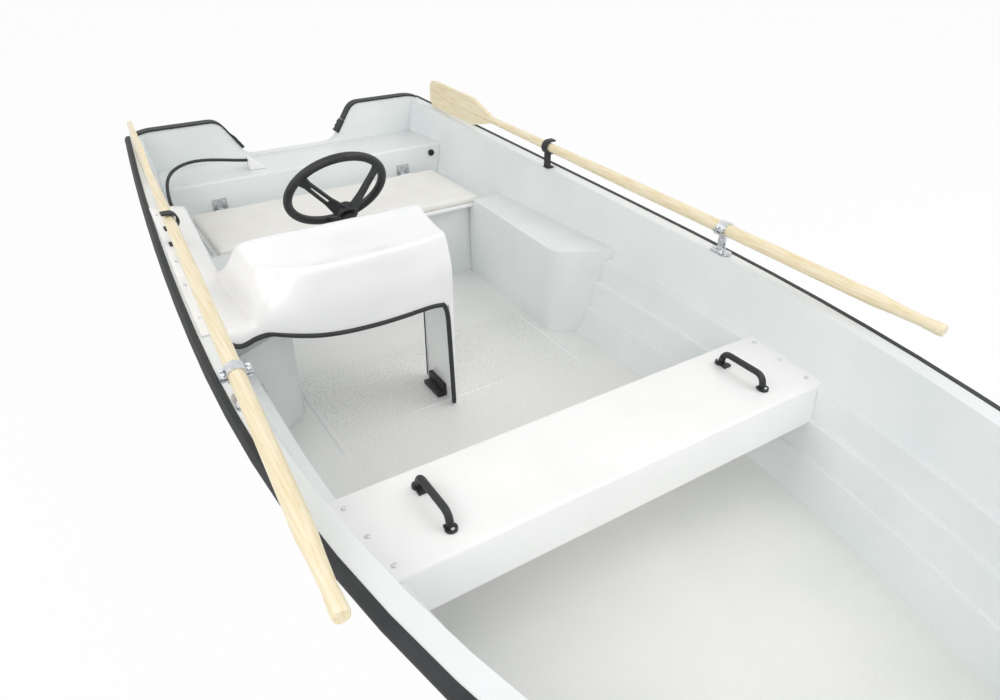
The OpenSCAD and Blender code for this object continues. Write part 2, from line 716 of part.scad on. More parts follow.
module console_foot() {
    color(rubber_black) translate([leg_rear_x + 30, console_in_y - console_t - seat_gap - 34, foot_z])
        union() {
            cube([110, 34, 14]);
            translate([0, 20, 0]) cube([110, 14, 46]);
        }
}

// Helm and wheel: the wheel's axis leans aft and up
wheel_axis = [-cos(wheel_slope), 0, sin(wheel_slope)];
dash_hub = dash_top + dash_dir * 95;
wheel_y = -244;
hub_point = [dash_hub[0], wheel_y, dash_hub[1]];
module on_axis(reach) {
    translate(hub_point + wheel_axis * reach) rotate([0, wheel_slope - 90, 0]) children();
}
bearing_r = 34;
bearing_h = 62;
module helm() {
    color(rubber_black) on_axis(seat_gap) difference() {
        union() {
            cylinder(h = 10, r = bearing_r + 16);
            cylinder(h = bearing_h, r1 = bearing_r, r2 = bearing_r - 12);
        }
        translate([0, 0, 10]) cylinder(h = bearing_h, r = shaft_r + pin_clear);
    }
}
hub_h = 30;
hub_r = 33;
spoke_w = 34;
spoke_t = 9;
module steering_wheel() {
    rim_r = wheel_dia / 2 - rim_dia / 2;
    hub_at = bearing_h + 4;
    dish = wheel_reach - hub_at - hub_h / 2;
    spoke_run = rim_r - hub_r + 8;
    lean = atan2(dish, spoke_run);
    run = norm([dish, spoke_run]);
    color(rubber_black) {
        on_axis(wheel_reach) rotate_extrude() translate([rim_r, 0]) circle(rim_dia / 2);
        on_axis(hub_at) cylinder(h = hub_h, r = hub_r);
        on_axis(12) cylinder(h = hub_at, r = shaft_r);
        for (turn = [55, 180, 305]) on_axis(hub_at + hub_h / 2) rotate([0, 0, turn])
            translate([hub_r - 8, 0, 0]) rotate([0, -lean, 0]) translate([0, 0, -spoke_t / 2])
                linear_extrude(spoke_t) difference() {
                    polygon([[0, -0.7 * spoke_w], [run * 0.3, -0.45 * spoke_w], [run * 0.8, -0.4 * spoke_w], [run, -0.65 * spoke_w],
                        [run, 0.65 * spoke_w], [run * 0.8, 0.4 * spoke_w], [run * 0.3, 0.45 * spoke_w], [0, 0.7 * spoke_w]]);
                    polygon([[run * 0.3, -0.16 * spoke_w], [run * 0.72, -0.13 * spoke_w],
                        [run * 0.72, 0.13 * spoke_w], [run * 0.3, 0.16 * spoke_w]]);
                }
    }
}

// Steering cable over the ledge to its ramp beside the motor cut-out
// Route as [distance from the transom, y, z]
CABLE = [[745, -625, 398], [742, -626, 420], [728, -629, 444], [690, -634, 470], [630, -638, 494],
    [560, -640, 520], [490, -638, 548], [430, -630, 572], [375, -615, 592], [325, -588, 606], [285, -548, 614],
    [258, -500, 616], [242, -450, 612], [234, -400, 604], [230, -350, 594], [228, -300, 584], [228, -262, 578]];
cable_route = [for (p = CABLE) p + [stern_x, 0, 0]];
module steering_cable() {
    color(rubber_black) bar(cable_route, cable_dia / 2, 10);
}
module cable_ramp() {
    last = cable_route[len(cable_route) - 1];
    low = ledge_z + seat_gap;
    y = last[1] + 3 * seat_gap;
    color("white") along_x(last[0] - 26, 52)
        polygon([[y, low], [y + 74, low], [y + 66, low + 8], [y + 12, last[2] + 13], [y, last[2] + 13]]);
}

// Thwart: a folded sheet whose ends follow the liner
thwart_x = stern_x + thwart_at;
thwart_z = shelf_z + seat_gap + thwart_t;
thwart_front_x = thwart_x + thwart_d;
module thwart() {
    line = round_path([[thwart_x - 6, thwart_z - 46], [thwart_x, thwart_z], [thwart_front_x, thwart_z],
        [thwart_front_x + 20, thwart_z - thwart_drop]], 9, 3);
    color("white") intersection() {
        inside_space(liner_clear);
        along_y(beam / 2, beam) polygon(concat(line, flip(offset_path(line, thwart_t))));
    }
}

handle_y = 490;
handle_h = 50;
handle_r = 9.5;
module grab_handle_port() {
    mid = thwart_x + thwart_d / 2;
    z = thwart_z + seat_gap;
    half = handle_span / 2;
    arch = round_path([[mid - half, handle_y, z + 2], [mid - half + 8, handle_y, z + handle_h - handle_r],
        [mid + half - 8, handle_y, z + handle_h - handle_r], [mid + half, handle_y, z + 2]], 22, 5);
    color(rubber_black) {
        bar(arch, handle_r, 10);
        for (end = [-1, 1]) translate([mid + end * (half + 2), handle_y, z]) {
            cylinder(h = 7, r = 15);
            translate([-end * 15, -12, 0]) cube([15, 24, 7], center = false);
        }
    }
}
module grab_handle_starboard() {
    to_starboard() grab_handle_port();
}

// Oars, rowlocks and clips
plate_len = 76;
rowlock_x = stern_x + rowlock_at;
rowlock_u = u_at(rowlock_x);
rowlock_y = half_beam(rowlock_u) - flange_w / 2;
rowlock_z = sheer(u_at(rowlock_x - plate_len / 2));
oar_z = rowlock_z + rowlock_rise;
blade_len = 560;
grip_len = 130;
grip_r = loom_r * 0.85;
neck_r = loom_r * 0.72;
module at_oar() {
    translate([rowlock_x, rowlock_y, oar_z]) rotate([0, oar_tilt, oar_toe]) children();
}
// Loom radius along the oar, as [place from the pivot towards the handle, radius]
function loom_line() = let (end = oar_inboard, tip = oar_inboard - oar_len)
    [[end, 0], [end, grip_r * 0.9], [end - 8, grip_r], [end - grip_len * 0.5, grip_r * 0.86],
        [end - grip_len, grip_r], [end - grip_len - 60, loom_r * 1.05], [0, loom_r], [-500, loom_r],
        [tip + blade_len, neck_r], [tip + 200, blade_t / 2 + 0.6], [tip + 200, 0]];
module oar_port() {
    tip = oar_inboard - oar_len;
    half = blade_w / 2;
    edge = round_path([[tip + blade_len + 20, 3], [tip + blade_len - 30, neck_r * 0.6], [tip + blade_len - 190, half],
        [tip + 20, half], [tip, half * 0.6], [tip, 3]], 14, 4);
    color(pine) at_oar() {
        rotate([0, 90, 0]) rotate_extrude() polygon([for (p = loom_line()) [p[1], p[0]]]);
        rotate([90, 0, 0]) translate([0, 0, -blade_t / 2]) linear_extrude(blade_t)
            polygon(concat(edge, [for (p = flip(edge)) [p[0], -p[1]]]));
    }
}
module oar_starboard() {
    to_starboard() oar_port();
}

clamp_t = 4.5;
clamp_len = 34;
clamp_gap = 3;
ear_w = 16;
lug_t = 9;
cross_z = -38;
cross_r = 4;
module clamp_port() {
    out_r = loom_r + clamp_t;
    ear_y = loom_r + 1;
    color(zinc) at_oar() {
        for (half = [-1, 1]) {
            difference() {
                rotate([0, 90, 0]) translate([0, 0, -clamp_len / 2]) cylinder(h = clamp_len, r = out_r);
                rotate([0, 90, 0]) translate([0, 0, -clamp_len]) cylinder(h = 2 * clamp_len, r = loom_r + seat_gap);
                translate([-clamp_len, -2 * out_r, half > 0 ? -3 * out_r + clamp_gap / 2 : -clamp_gap / 2])
                    cube([2 * clamp_len, 4 * out_r, 3 * out_r]);
            }
            for (side = [-1, 1]) difference() {
                translate([-clamp_len / 2, side > 0 ? ear_y : -ear_y - ear_w, half > 0 ? clamp_gap / 2 : -clamp_gap / 2 - 4])
                    cube([clamp_len, ear_w, 4]);
                rotate([0, 90, 0]) translate([0, 0, -clamp_len]) cylinder(h = 2 * clamp_len, r = loom_r + seat_gap);
            }
        }
        for (side = [-1, 1], end = [-1, 1])
            translate([end * clamp_len / 4, side * (ear_y + ear_w * 0.55), -clamp_gap / 2 - 9])
                cylinder(h = clamp_gap + 18, r = 3);
        difference() {
            translate([-11, -lug_t / 2, cross_z - 6]) cube([22, lug_t, -cross_z + 6 - loom_r - 2]);
            translate([0, lug_t, cross_z]) rotate([90, 0, 0]) cylinder(h = 2 * lug_t, r = cross_r + 0.3);
        }
    }
}
module clamp_starboard() {
    to_starboard() clamp_port();
}

plate_t = 5;
boss_h = 13.5;
boss_r = 14;
cheek_t = 5;
module rowlock_port() {
    low = rowlock_z + seat_gap + boss_h + seat_gap;
    cross = oar_z + cross_z * cos(oar_tilt);
    cross_x = cross_z * sin(oar_tilt);
    inner = lug_t / 2 + 0.6;
    color(zinc) translate([rowlock_x, rowlock_y, 0]) rotate([0, 0, oar_toe]) {
        translate([0, 0, rowlock_z + seat_gap + 1]) cylinder(h = low - rowlock_z, r = pin_r);
        translate([0, 0, low]) cylinder(h = 4, r = boss_r);
        for (side = [-1, 1]) translate([cross_x - 9, side > 0 ? inner : -inner - cheek_t, low + 2])
            cube([18, cheek_t, cross + 9 - low - 2]);
        translate([cross_x, inner + cheek_t + 4, cross]) rotate([90, 0, 0])
            cylinder(h = 2 * (inner + cheek_t + 4), r = cross_r);
    }
}
module rowlock_starboard() {
    to_starboard() rowlock_port();
}

plate_w = 38;
module rowlock_plate_port() {
    color(zinc) translate([rowlock_x, rowlock_y, rowlock_z + seat_gap]) difference() {
        union() {
            linear_extrude(plate_t) {
                translate([-plate_len / 2 + plate_w / 2, -plate_w / 2]) square([plate_len - plate_w, plate_w]);
                for (end = [-1, 1]) translate([end * (plate_len - plate_w) / 2, 0]) circle(plate_w / 2);
            }
            cylinder(h = boss_h, r = boss_r);
        }
        translate([0, 0, 0.5]) cylinder(h = boss_h, r = pin_r + pin_clear);
    }
}
module rowlock_plate_starboard() {
    to_starboard() rowlock_plate_port();
}

clip_clear_blade = 150;
clip_x = max(stern_x + clip_at, rowlock_x + oar_inboard - oar_len + blade_len + clip_clear_blade);
clip_len = 30;
clip_arm = 6;
clip_foot = 4;
// Clip with its mouth outboard, on a post from the gunwale
module clip(base) {
    y = rowlock_y - (rowlock_x - clip_x) * tan(oar_toe);
    z = oar_z + (rowlock_x - clip_x) * tan(oar_tilt);
    gap = loom_r + clip_clear;
    low = sheer(u_at(clip_x - clip_len / 2)) + base + seat_gap;
    color(rubber_black) {
        along_x(clip_x - clip_len / 2, clip_len) difference() {
            union() {
                translate([y, z]) circle(gap + clip_arm);
                translate([y, z - gap - clip_arm]) square([gap, 2 * gap + 2 * clip_arm]);
                translate([y - 12, low]) square([12, z - gap - low]);
            }
            translate([y, z]) circle(gap);
            translate([y, z - gap]) square([2 * gap + 20, 2 * gap]);
        }
        translate([clip_x - clip_len / 2, y - 16, low]) cube([clip_len, 34, clip_foot]);
    }
}
module oar_clip_port() {
    clip(0);
}
module oar_clip_starboard() {
    to_starboard() clip(seat_gap + panel_t);
}

hull();
liner();
transom();
keel_plank();
bilge_runners();
fender_starboard();
fender_port();
transom_trim();
trim_sleeves();
bow_locker();
breasthook();
bow_eye();
stern_ledge();
rear_bench();
side_bench_starboard();
side_bench_port();
seat_lid();
seat_pad();
hinge_wall_leaves();
hinge_lid_leaves();
console();
console_side_panel();
console_trim();
console_foot();
helm();
steering_wheel();
steering_cable();
cable_ramp();
stern_bolt();
thwart();
grab_handle_starboard();
grab_handle_port();
oar_starboard();
oar_port();
clamp_starboard();
clamp_port();
rowlock_starboard();
rowlock_port();
rowlock_plate_starboard();
rowlock_plate_port();
oar_clip_starboard();
oar_clip_port();
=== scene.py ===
# %% [markdown]
# # An open fishing dinghy, dressed in Blender
# The boat is a moulded glass fibre dinghy with a steering console, a folded thwart, a padded stern seat
# and two pine oars laid in their rowlocks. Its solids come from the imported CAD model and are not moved
# here. This lesson gives them their finishes and adds what is too small or too soft for the solids.

# %% Load the boat
import json
import math

import bpy
from mathutils import Matrix, Vector


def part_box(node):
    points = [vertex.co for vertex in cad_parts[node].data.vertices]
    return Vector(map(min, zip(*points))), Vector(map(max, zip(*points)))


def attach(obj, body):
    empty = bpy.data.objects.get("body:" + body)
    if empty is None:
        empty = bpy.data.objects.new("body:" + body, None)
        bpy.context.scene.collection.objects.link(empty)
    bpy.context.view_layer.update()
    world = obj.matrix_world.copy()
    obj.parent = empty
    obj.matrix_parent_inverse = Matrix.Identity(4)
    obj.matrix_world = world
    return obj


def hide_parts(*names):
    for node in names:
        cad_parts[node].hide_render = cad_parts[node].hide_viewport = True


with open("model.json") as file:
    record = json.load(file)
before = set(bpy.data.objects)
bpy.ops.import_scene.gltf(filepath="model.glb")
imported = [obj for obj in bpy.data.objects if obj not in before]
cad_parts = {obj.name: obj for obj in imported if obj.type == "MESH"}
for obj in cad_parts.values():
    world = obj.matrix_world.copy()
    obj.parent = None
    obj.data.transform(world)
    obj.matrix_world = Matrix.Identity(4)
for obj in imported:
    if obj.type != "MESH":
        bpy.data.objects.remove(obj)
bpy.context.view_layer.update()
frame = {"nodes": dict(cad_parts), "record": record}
boat = frame["nodes"]

# %% [markdown]
# ## The camera
# The picture was taken standing beside the starboard bow, looking down across the boat towards the
# stern. The place, the direction and the lens were solved from pairs of fittings that mirror each other
# to port and starboard.

# %% Set the camera
eye = Vector((1.3591, -1.0110, 1.5696))
right = Vector((0.5336, 0.8457, 0.0))
up = Vector((-0.4481, 0.2827, 0.8481))
back = right.cross(up)

bpy.ops.object.camera_add()
camera = bpy.context.object
camera.name = "camera"
camera.data.sensor_fit = "HORIZONTAL"
camera.data.sensor_width = 36.0
camera.data.lens = 26.57
camera.data.clip_start = 0.05
turn_and_place = [[right[i], up[i], back[i], eye[i]] for i in range(3)]
camera.matrix_world = Matrix(turn_and_place + [[0, 0, 0, 1]])
bpy.context.scene.camera = camera
bpy.context.scene.view_settings.view_transform = "Standard"
print("camera at", tuple(round(c, 3) for c in eye), "lens", camera.data.lens)

# %% [markdown]
# ## Small tools
# Colours are written as they look on a screen, so one function turns them to the linear values that
# shaders want. Another adds a node, sets it and wires it in one line, a third starts a finish, and a
# fourth wires what was made to the finish's shader.


# %% Colour and node tools
def linear(code):
    channels = [int(code[i:i + 2], 16) / 255 for i in (1, 3, 5)]
    curve = [c / 12.92 if c <= 0.04045 else ((c + 0.055) / 1.055) ** 2.4 for c in channels]
    return (*curve, 1.0)


def add(tree, kind, links=(), settings=(), stops=(), **inputs):
    node = tree.nodes.new(kind)
    for name, value in dict(settings).items():
        setattr(node, name, value)
    for name, value in inputs.items():
        node.inputs[name.replace("_", " ")].default_value = value
    for socket, source in dict(links).items():
        tree.links.new(source, node.inputs[socket])
    if stops:
        marks = node.color_ramp.elements
        while len(marks) < len(stops):
            marks.new(0.5)
        for mark, (place, code) in zip(marks, stops):
            mark.position = place
            mark.color = linear(code)
    return node


def new_finish(name, **shader):
    material = bpy.data.materials.new(name)
    material.use_nodes = True
    tree = material.node_tree
    surface = tree.nodes["Principled BSDF"]
    for key, value in shader.items():
        surface.inputs[key.replace("_", " ")].default_value = value
    where = add(tree, "ShaderNodeTexCoord").outputs["Object"]
    return material, tree, surface, where


def wire(tree, surface, **sources):
    for socket, source in sources.items():
        tree.links.new(source, surface.inputs[socket.replace("_", " ")])


print("white in linear light:", linear("#ffffff"))

# %% [markdown]
# ## Studio
# The boat stands on a plain pale floor in soft, even light. The floor and the sky turn white only where
# the camera sees them, straight on, in a reflection or through something clear, so the light that falls
# on the boat stays at a plain level.

# %% Floor and sky
FLOOR_WHITE = 0.94
SKY_LIGHT = 0.62
SKY_WHITE = 1.0


def towards_the_eye(tree):
    rays = add(tree, "ShaderNodeLightPath").outputs
    bare = add(tree, "ShaderNodeMath", {0: rays["Is Camera Ray"], 1: rays["Is Glossy Ray"]},
               {"operation": "MAXIMUM"})
    through = add(tree, "ShaderNodeMath", {0: bare.outputs[0], 1: rays["Is Transmission Ray"]},
                  {"operation": "MAXIMUM"})
    return through.outputs[0]


bpy.ops.mesh.primitive_plane_add(size=60, location=(0, 0, -0.001))
floor = bpy.context.object
floor.name = "studio_floor"
pale, tree, surface, where = new_finish("matt_white_floor", Base_Color=linear("#f4f4f4"), Roughness=0.9)
whiteness = add(tree, "ShaderNodeMapRange", {"Value": towards_the_eye(tree)}, To_Max=FLOOR_WHITE)
glow = add(tree, "ShaderNodeEmission", Color=(1, 1, 1, 1), Strength=1.0)
shown = add(tree, "ShaderNodeMixShader",
            {0: whiteness.outputs[0], 1: surface.outputs[0], 2: glow.outputs[0]})
wire(tree, tree.nodes["Material Output"], Surface=shown.outputs[0])
floor.data.materials.append(pale)

world = bpy.data.worlds.new("studio_sky")
bpy.context.scene.world = world
world.use_nodes = True
sky = world.node_tree
background = sky.nodes["Background"]
background.inputs["Color"].default_value = (1, 1, 1, 1)
brightness = add(sky, "ShaderNodeMapRange", {"Value": towards_the_eye(sky)},
                 To_Min=SKY_LIGHT, To_Max=SKY_WHITE)
wire(sky, background, Strength=brightness.outputs[0])
print("stage:", floor.name, "sky:", world.name)


# %% Lamps
def soft_lamp(name, at, aim, size, power):
    bpy.ops.object.light_add(type="AREA", location=at)
    lamp = bpy.context.object
    lamp.name = name
    lamp.data.size = size
    lamp.data.energy = power
    lamp.rotation_euler = (Vector(aim) - Vector(at)).to_track_quat("-Z", "Y").to_euler()
    print("lamp:", name, power, "W")


soft_lamp("key_softbox", (1.5, 3.5, 5.0), (-0.3, 0, 0.3), 4.0, 100)
soft_lamp("fill_softbox", (-1.0, -4.0, 3.5), (-0.3, 0, 0.3), 3.5, 45)
soft_lamp("bow_softbox", (3.4, -2.4, 3.2), (0.0, 0.1, 0.35), 3.0, 62)

# %% [markdown]
# ## Gelcoat
# Gelcoat is the pigmented polyester skin of a glass fibre moulding, laid against a polished mould. It is
# hard and glossy, faintly cloudy, and shows a very slight orange peel. The inside of this boat is a cool
# pale grey, the outer hull a whiter shade.


# %% Gelcoat finishes
def gelcoat(name, pale_code, cloud_code, rough):
    material, tree, surface, where = new_finish(name, IOR=1.5, Coat_Weight=0.25, Coat_Roughness=0.12)
    # Clouds in the pigment about 200 mm across, and polishing marks about 45 mm across
    cloud = add(tree, "ShaderNodeTexNoise", {"Vector": where}, Scale=5.0, Detail=3.0)
    colour = add(tree, "ShaderNodeValToRGB", {"Fac": cloud.outputs["Fac"]},
                 stops=[(0.3, cloud_code), (0.7, pale_code)])
    scuff = add(tree, "ShaderNodeTexNoise", {"Vector": where}, Scale=22.0, Detail=5.0)
    level = add(tree, "ShaderNodeMapRange", {"Value": scuff.outputs["Fac"]},
                To_Min=rough - 0.02, To_Max=rough + 0.05)
    # Orange peel about 7 mm across, which is coarser than real so that it shows
    peel = add(tree, "ShaderNodeTexNoise", {"Vector": where}, Scale=140.0, Detail=1.0)
    bump = add(tree, "ShaderNodeBump", {"Height": peel.outputs["Fac"]}, Strength=0.04, Distance=0.001)
    wire(tree, surface, Base_Color=colour.outputs["Color"], Roughness=level.outputs[0],
         Normal=bump.outputs["Normal"])
    return material


hull_white = gelcoat("polished_white_gelcoat", "#f3f5f5", "#eceeee", 0.24)
moulding_white = gelcoat("gloss_white_moulding", "#fafafa", "#f4f5f5", 0.2)
print("gelcoats:", hull_white.name, moulding_white.name)

# %% [markdown]
# ## The liner's floor
# The floor is part of the same inner moulding as the sides. It is smooth at its edges, and between two
# low ribs it is cast with a grit pattern so that wet boots hold. One material does all three: height and
# the upward normal tell the floor from the sides, and the grit is kept to a panel that fades out towards
# the thwart.
# The grit's speckle, darker in its hollows and lighter on its tops, is painted shade and painted
# highlight.

# %% Tell the floor and its grit panel from the sides
liner_grey, tree, surface, where = new_finish("cool_grey_gelcoat_with_grit_floor_and_painted_grit_shade", IOR=1.5)
axes = add(tree, "ShaderNodeSeparateXYZ", {0: where}).outputs
normal = add(tree, "ShaderNodeNewGeometry").outputs["True Normal"]
facing = add(tree, "ShaderNodeSeparateXYZ", {0: normal}).outputs
off_middle = add(tree, "ShaderNodeMath", {0: axes["Y"]}, {"operation": "ABSOLUTE"}).outputs[0]

# Each limit is 0 at its first value and 1 at its second, in metres or as a share of the normal.
# The panel lies between the ribs, from 865 mm behind the middle of the boat, and thins out over 650 mm
FLOOR_LIMITS = [(axes["Z"], 0.21, 0.20), (facing["Z"], 0.9, 0.97)]
PANEL_LIMITS = [(axes["X"], -0.870, -0.860), (off_middle, 0.467, 0.460), (axes["X"], -0.08, -0.73)]


def inside_all(limits):
    inside = None
    for source, begin, end in limits:
        level = add(tree, "ShaderNodeMapRange", {"Value": source}, From_Min=begin, From_Max=end)
        if inside is None:
            inside = level
        else:
            inside = add(tree, "ShaderNodeMath", {0: inside.outputs[0], 1: level.outputs[0]},
                         {"operation": "MULTIPLY"})
    return inside.outputs[0]


on_floor = inside_all(FLOOR_LIMITS)
gritty = inside_all(FLOOR_LIMITS + PANEL_LIMITS)
print("floor limits:", len(FLOOR_LIMITS), "panel limits:", len(PANEL_LIMITS))

# %% Liner gelcoat with a non-slip floor and painted shade and highlight in its grit
# Clouds in the pigment about 250 mm across
cloud = add(tree, "ShaderNodeTexNoise", {"Vector": where}, Scale=4.0, Detail=3.0)
side_colour = add(tree, "ShaderNodeValToRGB", {"Fac": cloud.outputs["Fac"]},
                  stops=[(0.3, "#e6ebeb"), (0.7, "#eef1f1")])
floor_colour = add(tree, "ShaderNodeValToRGB", {"Fac": cloud.outputs["Fac"]},
                   stops=[(0.3, "#e8e9e6"), (0.7, "#eeeeec")])
# Grit of about 4 mm, drawn coarser than the real 1 to 2 mm so that it shows
grit = add(tree, "ShaderNodeTexNoise", {"Vector": where}, Scale=240.0, Detail=2.0, Roughness=0.6)
# The grit's colour follows its height: painted shade in the hollows and painted highlight on the tops
grit_painted_shade_and_highlight = add(tree, "ShaderNodeValToRGB", {"Fac": grit.outputs["Fac"]},
                  stops=[(0.36, "#c4c5c2"), (0.47, "#e6e7e4"), (0.62, "#fbfbfa")])
# Sockets 6 and 7 of a Mix node are its two colours, and output 2 is the mixed one
plain = add(tree, "ShaderNodeMix",
            {0: on_floor, 6: side_colour.outputs["Color"], 7: floor_colour.outputs["Color"]},
            {"data_type": "RGBA"})
colour = add(tree, "ShaderNodeMix", {0: gritty, 6: plain.outputs[2], 7: grit_painted_shade_and_highlight.outputs["Color"]},
             {"data_type": "RGBA"})
rough = add(tree, "ShaderNodeMapRange", {"Value": grit.outputs["Fac"]},
            From_Min=0.35, From_Max=0.65, To_Min=0.42, To_Max=0.26)
grain = add(tree, "ShaderNodeMath", {0: gritty, 1: grit.outputs["Fac"]}, {"operation": "MULTIPLY"})
bump = add(tree, "ShaderNodeBump", {"Height": grain.outputs[0]}, Strength=0.6, Distance=0.002)
wire(tree, surface, Base_Color=colour.outputs[2], Roughness=rough.outputs[0],
     Normal=bump.outputs["Normal"])
print("liner finish:", liner_grey.name)

# %% [markdown]
# ## Rubber, plastic, zinc and paint
# The fender, the trims and the clips are matt extruded rubber. The wheel, the handles and the foot block
# are moulded plastic with a fine leathery grain. Rowlocks, clamps and hinges are hot-dip galvanised,
# which leaves a bright metal with a faint spangle of crystals. The thwart is folded sheet under a white
# powder coat.

# %% Extruded rubber
fender_rubber, tree, surface, where = new_finish("matt_extruded_rubber", IOR=1.52,
                                                 Specular_IOR_Level=0.35)
# Dusty patches about 70 mm across turn it greyer and duller
dust = add(tree, "ShaderNodeTexNoise", {"Vector": where}, Scale=14.0, Detail=5.0)
colour = add(tree, "ShaderNodeValToRGB", {"Fac": dust.outputs["Fac"]},
             stops=[(0.35, "#2b2d2f"), (0.75, "#3a3c3e")])
level = add(tree, "ShaderNodeMapRange", {"Value": dust.outputs["Fac"]}, To_Min=0.5, To_Max=0.7)
# The die leaves a fine tooth, drawn about 2.4 mm across so that it shows
tooth = add(tree, "ShaderNodeTexNoise", {"Vector": where}, Scale=420.0, Detail=1.0)
bump = add(tree, "ShaderNodeBump", {"Height": tooth.outputs["Fac"]}, Strength=0.12, Distance=0.0006)
wire(tree, surface, Base_Color=colour.outputs["Color"], Roughness=level.outputs[0],
     Normal=bump.outputs["Normal"])
print("rubber:", fender_rubber.name)

# %% Grained plastic
black_plastic, tree, surface, where = new_finish("grained_black_polypropylene", IOR=1.49)
# Leathery grain of about 2 mm, and worn patches about 33 mm across that shine more
grain = add(tree, "ShaderNodeTexVoronoi", {"Vector": where}, Scale=520.0)
worn = add(tree, "ShaderNodeTexNoise", {"Vector": where}, Scale=30.0, Detail=4.0)
colour = add(tree, "ShaderNodeValToRGB", {"Fac": worn.outputs["Fac"]},
             stops=[(0.35, "#1c1d1f"), (0.7, "#26282a")])
level = add(tree, "ShaderNodeMapRange", {"Value": worn.outputs["Fac"]}, To_Min=0.36, To_Max=0.52)
bump = add(tree, "ShaderNodeBump", {"Height": grain.outputs["Distance"]}, Strength=0.18, Distance=0.0005)
wire(tree, surface, Base_Color=colour.outputs["Color"], Roughness=level.outputs[0],
     Normal=bump.outputs["Normal"])
print("plastic:", black_plastic.name)

# %% Galvanised steel
zinc, tree, surface, where = new_finish("bright_galvanised_steel", Metallic=1.0)
# Zinc crystals of about 8 mm, each with its own brightness and gloss
spangle = add(tree, "ShaderNodeTexVoronoi", {"Vector": where}, Scale=130.0)
colour = add(tree, "ShaderNodeValToRGB", {"Fac": spangle.outputs["Color"]},
             stops=[(0.1, "#c8cbcf"), (0.9, "#e0e2e5")])
level = add(tree, "ShaderNodeMapRange", {"Value": spangle.outputs["Color"]}, To_Min=0.22, To_Max=0.4)
wire(tree, surface, Base_Color=colour.outputs["Color"], Roughness=level.outputs[0])
print("metal:", zinc.name)

# %% Powder coat
thwart_coat, tree, surface, where = new_finish("white_powder_coat", IOR=1.5, Roughness=0.34)
# Faint clouds about 170 mm across, under an orange peel of about 4 mm, coarser than real so that it shows
tone = add(tree, "ShaderNodeTexNoise", {"Vector": where}, Scale=6.0, Detail=3.0)
colour = add(tree, "ShaderNodeValToRGB", {"Fac": tone.outputs["Fac"]},
             stops=[(0.3, "#f6f6f5"), (0.7, "#fbfbfa")])
peel = add(tree, "ShaderNodeTexNoise", {"Vector": where}, Scale=260.0, Detail=1.0)
bump = add(tree, "ShaderNodeBump", {"Height": peel.outputs["Fac"]}, Strength=0.05, Distance=0.001)
wire(tree, surface, Base_Color=colour.outputs["Color"], Normal=bump.outputs["Normal"])
print("paint:", thwart_coat.name)

# %% [markdown]
# ## Pine and vinyl
# The oars are turned from pale spruce or pine under clear varnish: the year rings run along the loom as
# fine streaks. The seat is covered with marine vinyl, a soft cream sheet embossed with a shallow grain.

# %% Varnished pine
pine, tree, surface, where = new_finish("varnished_pale_pine", IOR=1.5, Coat_Weight=0.3,
                                        Coat_Roughness=0.2)
# Streaks of year rings about 6 mm wide and 330 mm long
stretch = add(tree, "ShaderNodeMapping", {"Vector": where}, Scale=(3.0, 170.0, 170.0))
streak = add(tree, "ShaderNodeTexNoise", {"Vector": stretch.outputs[0]},
             Scale=1.0, Detail=4.0, Distortion=0.4)
colour = add(tree, "ShaderNodeValToRGB", {"Fac": streak.outputs["Fac"]},
             stops=[(0.25, "#e6d0a0"), (0.5, "#f4e6c2"), (0.75, "#faf1d8")])
level = add(tree, "ShaderNodeMapRange", {"Value": streak.outputs["Fac"]}, To_Min=0.42, To_Max=0.3)
bump = add(tree, "ShaderNodeBump", {"Height": streak.outputs["Fac"]}, Strength=0.08, Distance=0.0006)
wire(tree, surface, Base_Color=colour.outputs["Color"], Roughness=level.outputs[0],
     Normal=bump.outputs["Normal"])
print("wood:", pine.name)

# %% Marine vinyl
vinyl, tree, surface, where = new_finish("cream_marine_vinyl", IOR=1.5, Roughness=0.46)
# Handled patches about 140 mm across are a shade greyer
tone = add(tree, "ShaderNodeTexNoise", {"Vector": where}, Scale=7.0, Detail=4.0)
colour = add(tree, "ShaderNodeValToRGB", {"Fac": tone.outputs["Fac"]},
             stops=[(0.3, "#eceae5"), (0.7, "#f3f2ee")])
# Embossed grain cells of about 2.5 mm, coarser than real so that they show
cells = add(tree, "ShaderNodeTexVoronoi", {"Vector": where}, {"feature": "DISTANCE_TO_EDGE"}, Scale=400.0)
bump = add(tree, "ShaderNodeBump", {"Height": cells.outputs["Distance"]}, Strength=0.2, Distance=0.0008)
wire(tree, surface, Base_Color=colour.outputs["Color"], Normal=bump.outputs["Normal"])
print("cover:", vinyl.name)

# %% [markdown]
# ## Dressing the solids
# Each CAD node takes the finish of its slot in the record. Its mesh is loose triangles, so a Weld joins
# them, a Bevel rounds the moulded edges a little, and an Edge Split keeps real corners crisp while the
# curved skins shade smoothly.

# %% Give the nodes their finishes
FINISHES = {
    "hull_gelcoat": hull_white,
    "liner_gelcoat": liner_grey,
    "white_moulding": moulding_white,
    "thwart_sheet": thwart_coat,
    "fender_rubber": fender_rubber,
    "black_plastic": black_plastic,
    "galvanised_steel": zinc,
    "pine": pine,
    "seat_vinyl": vinyl,
}
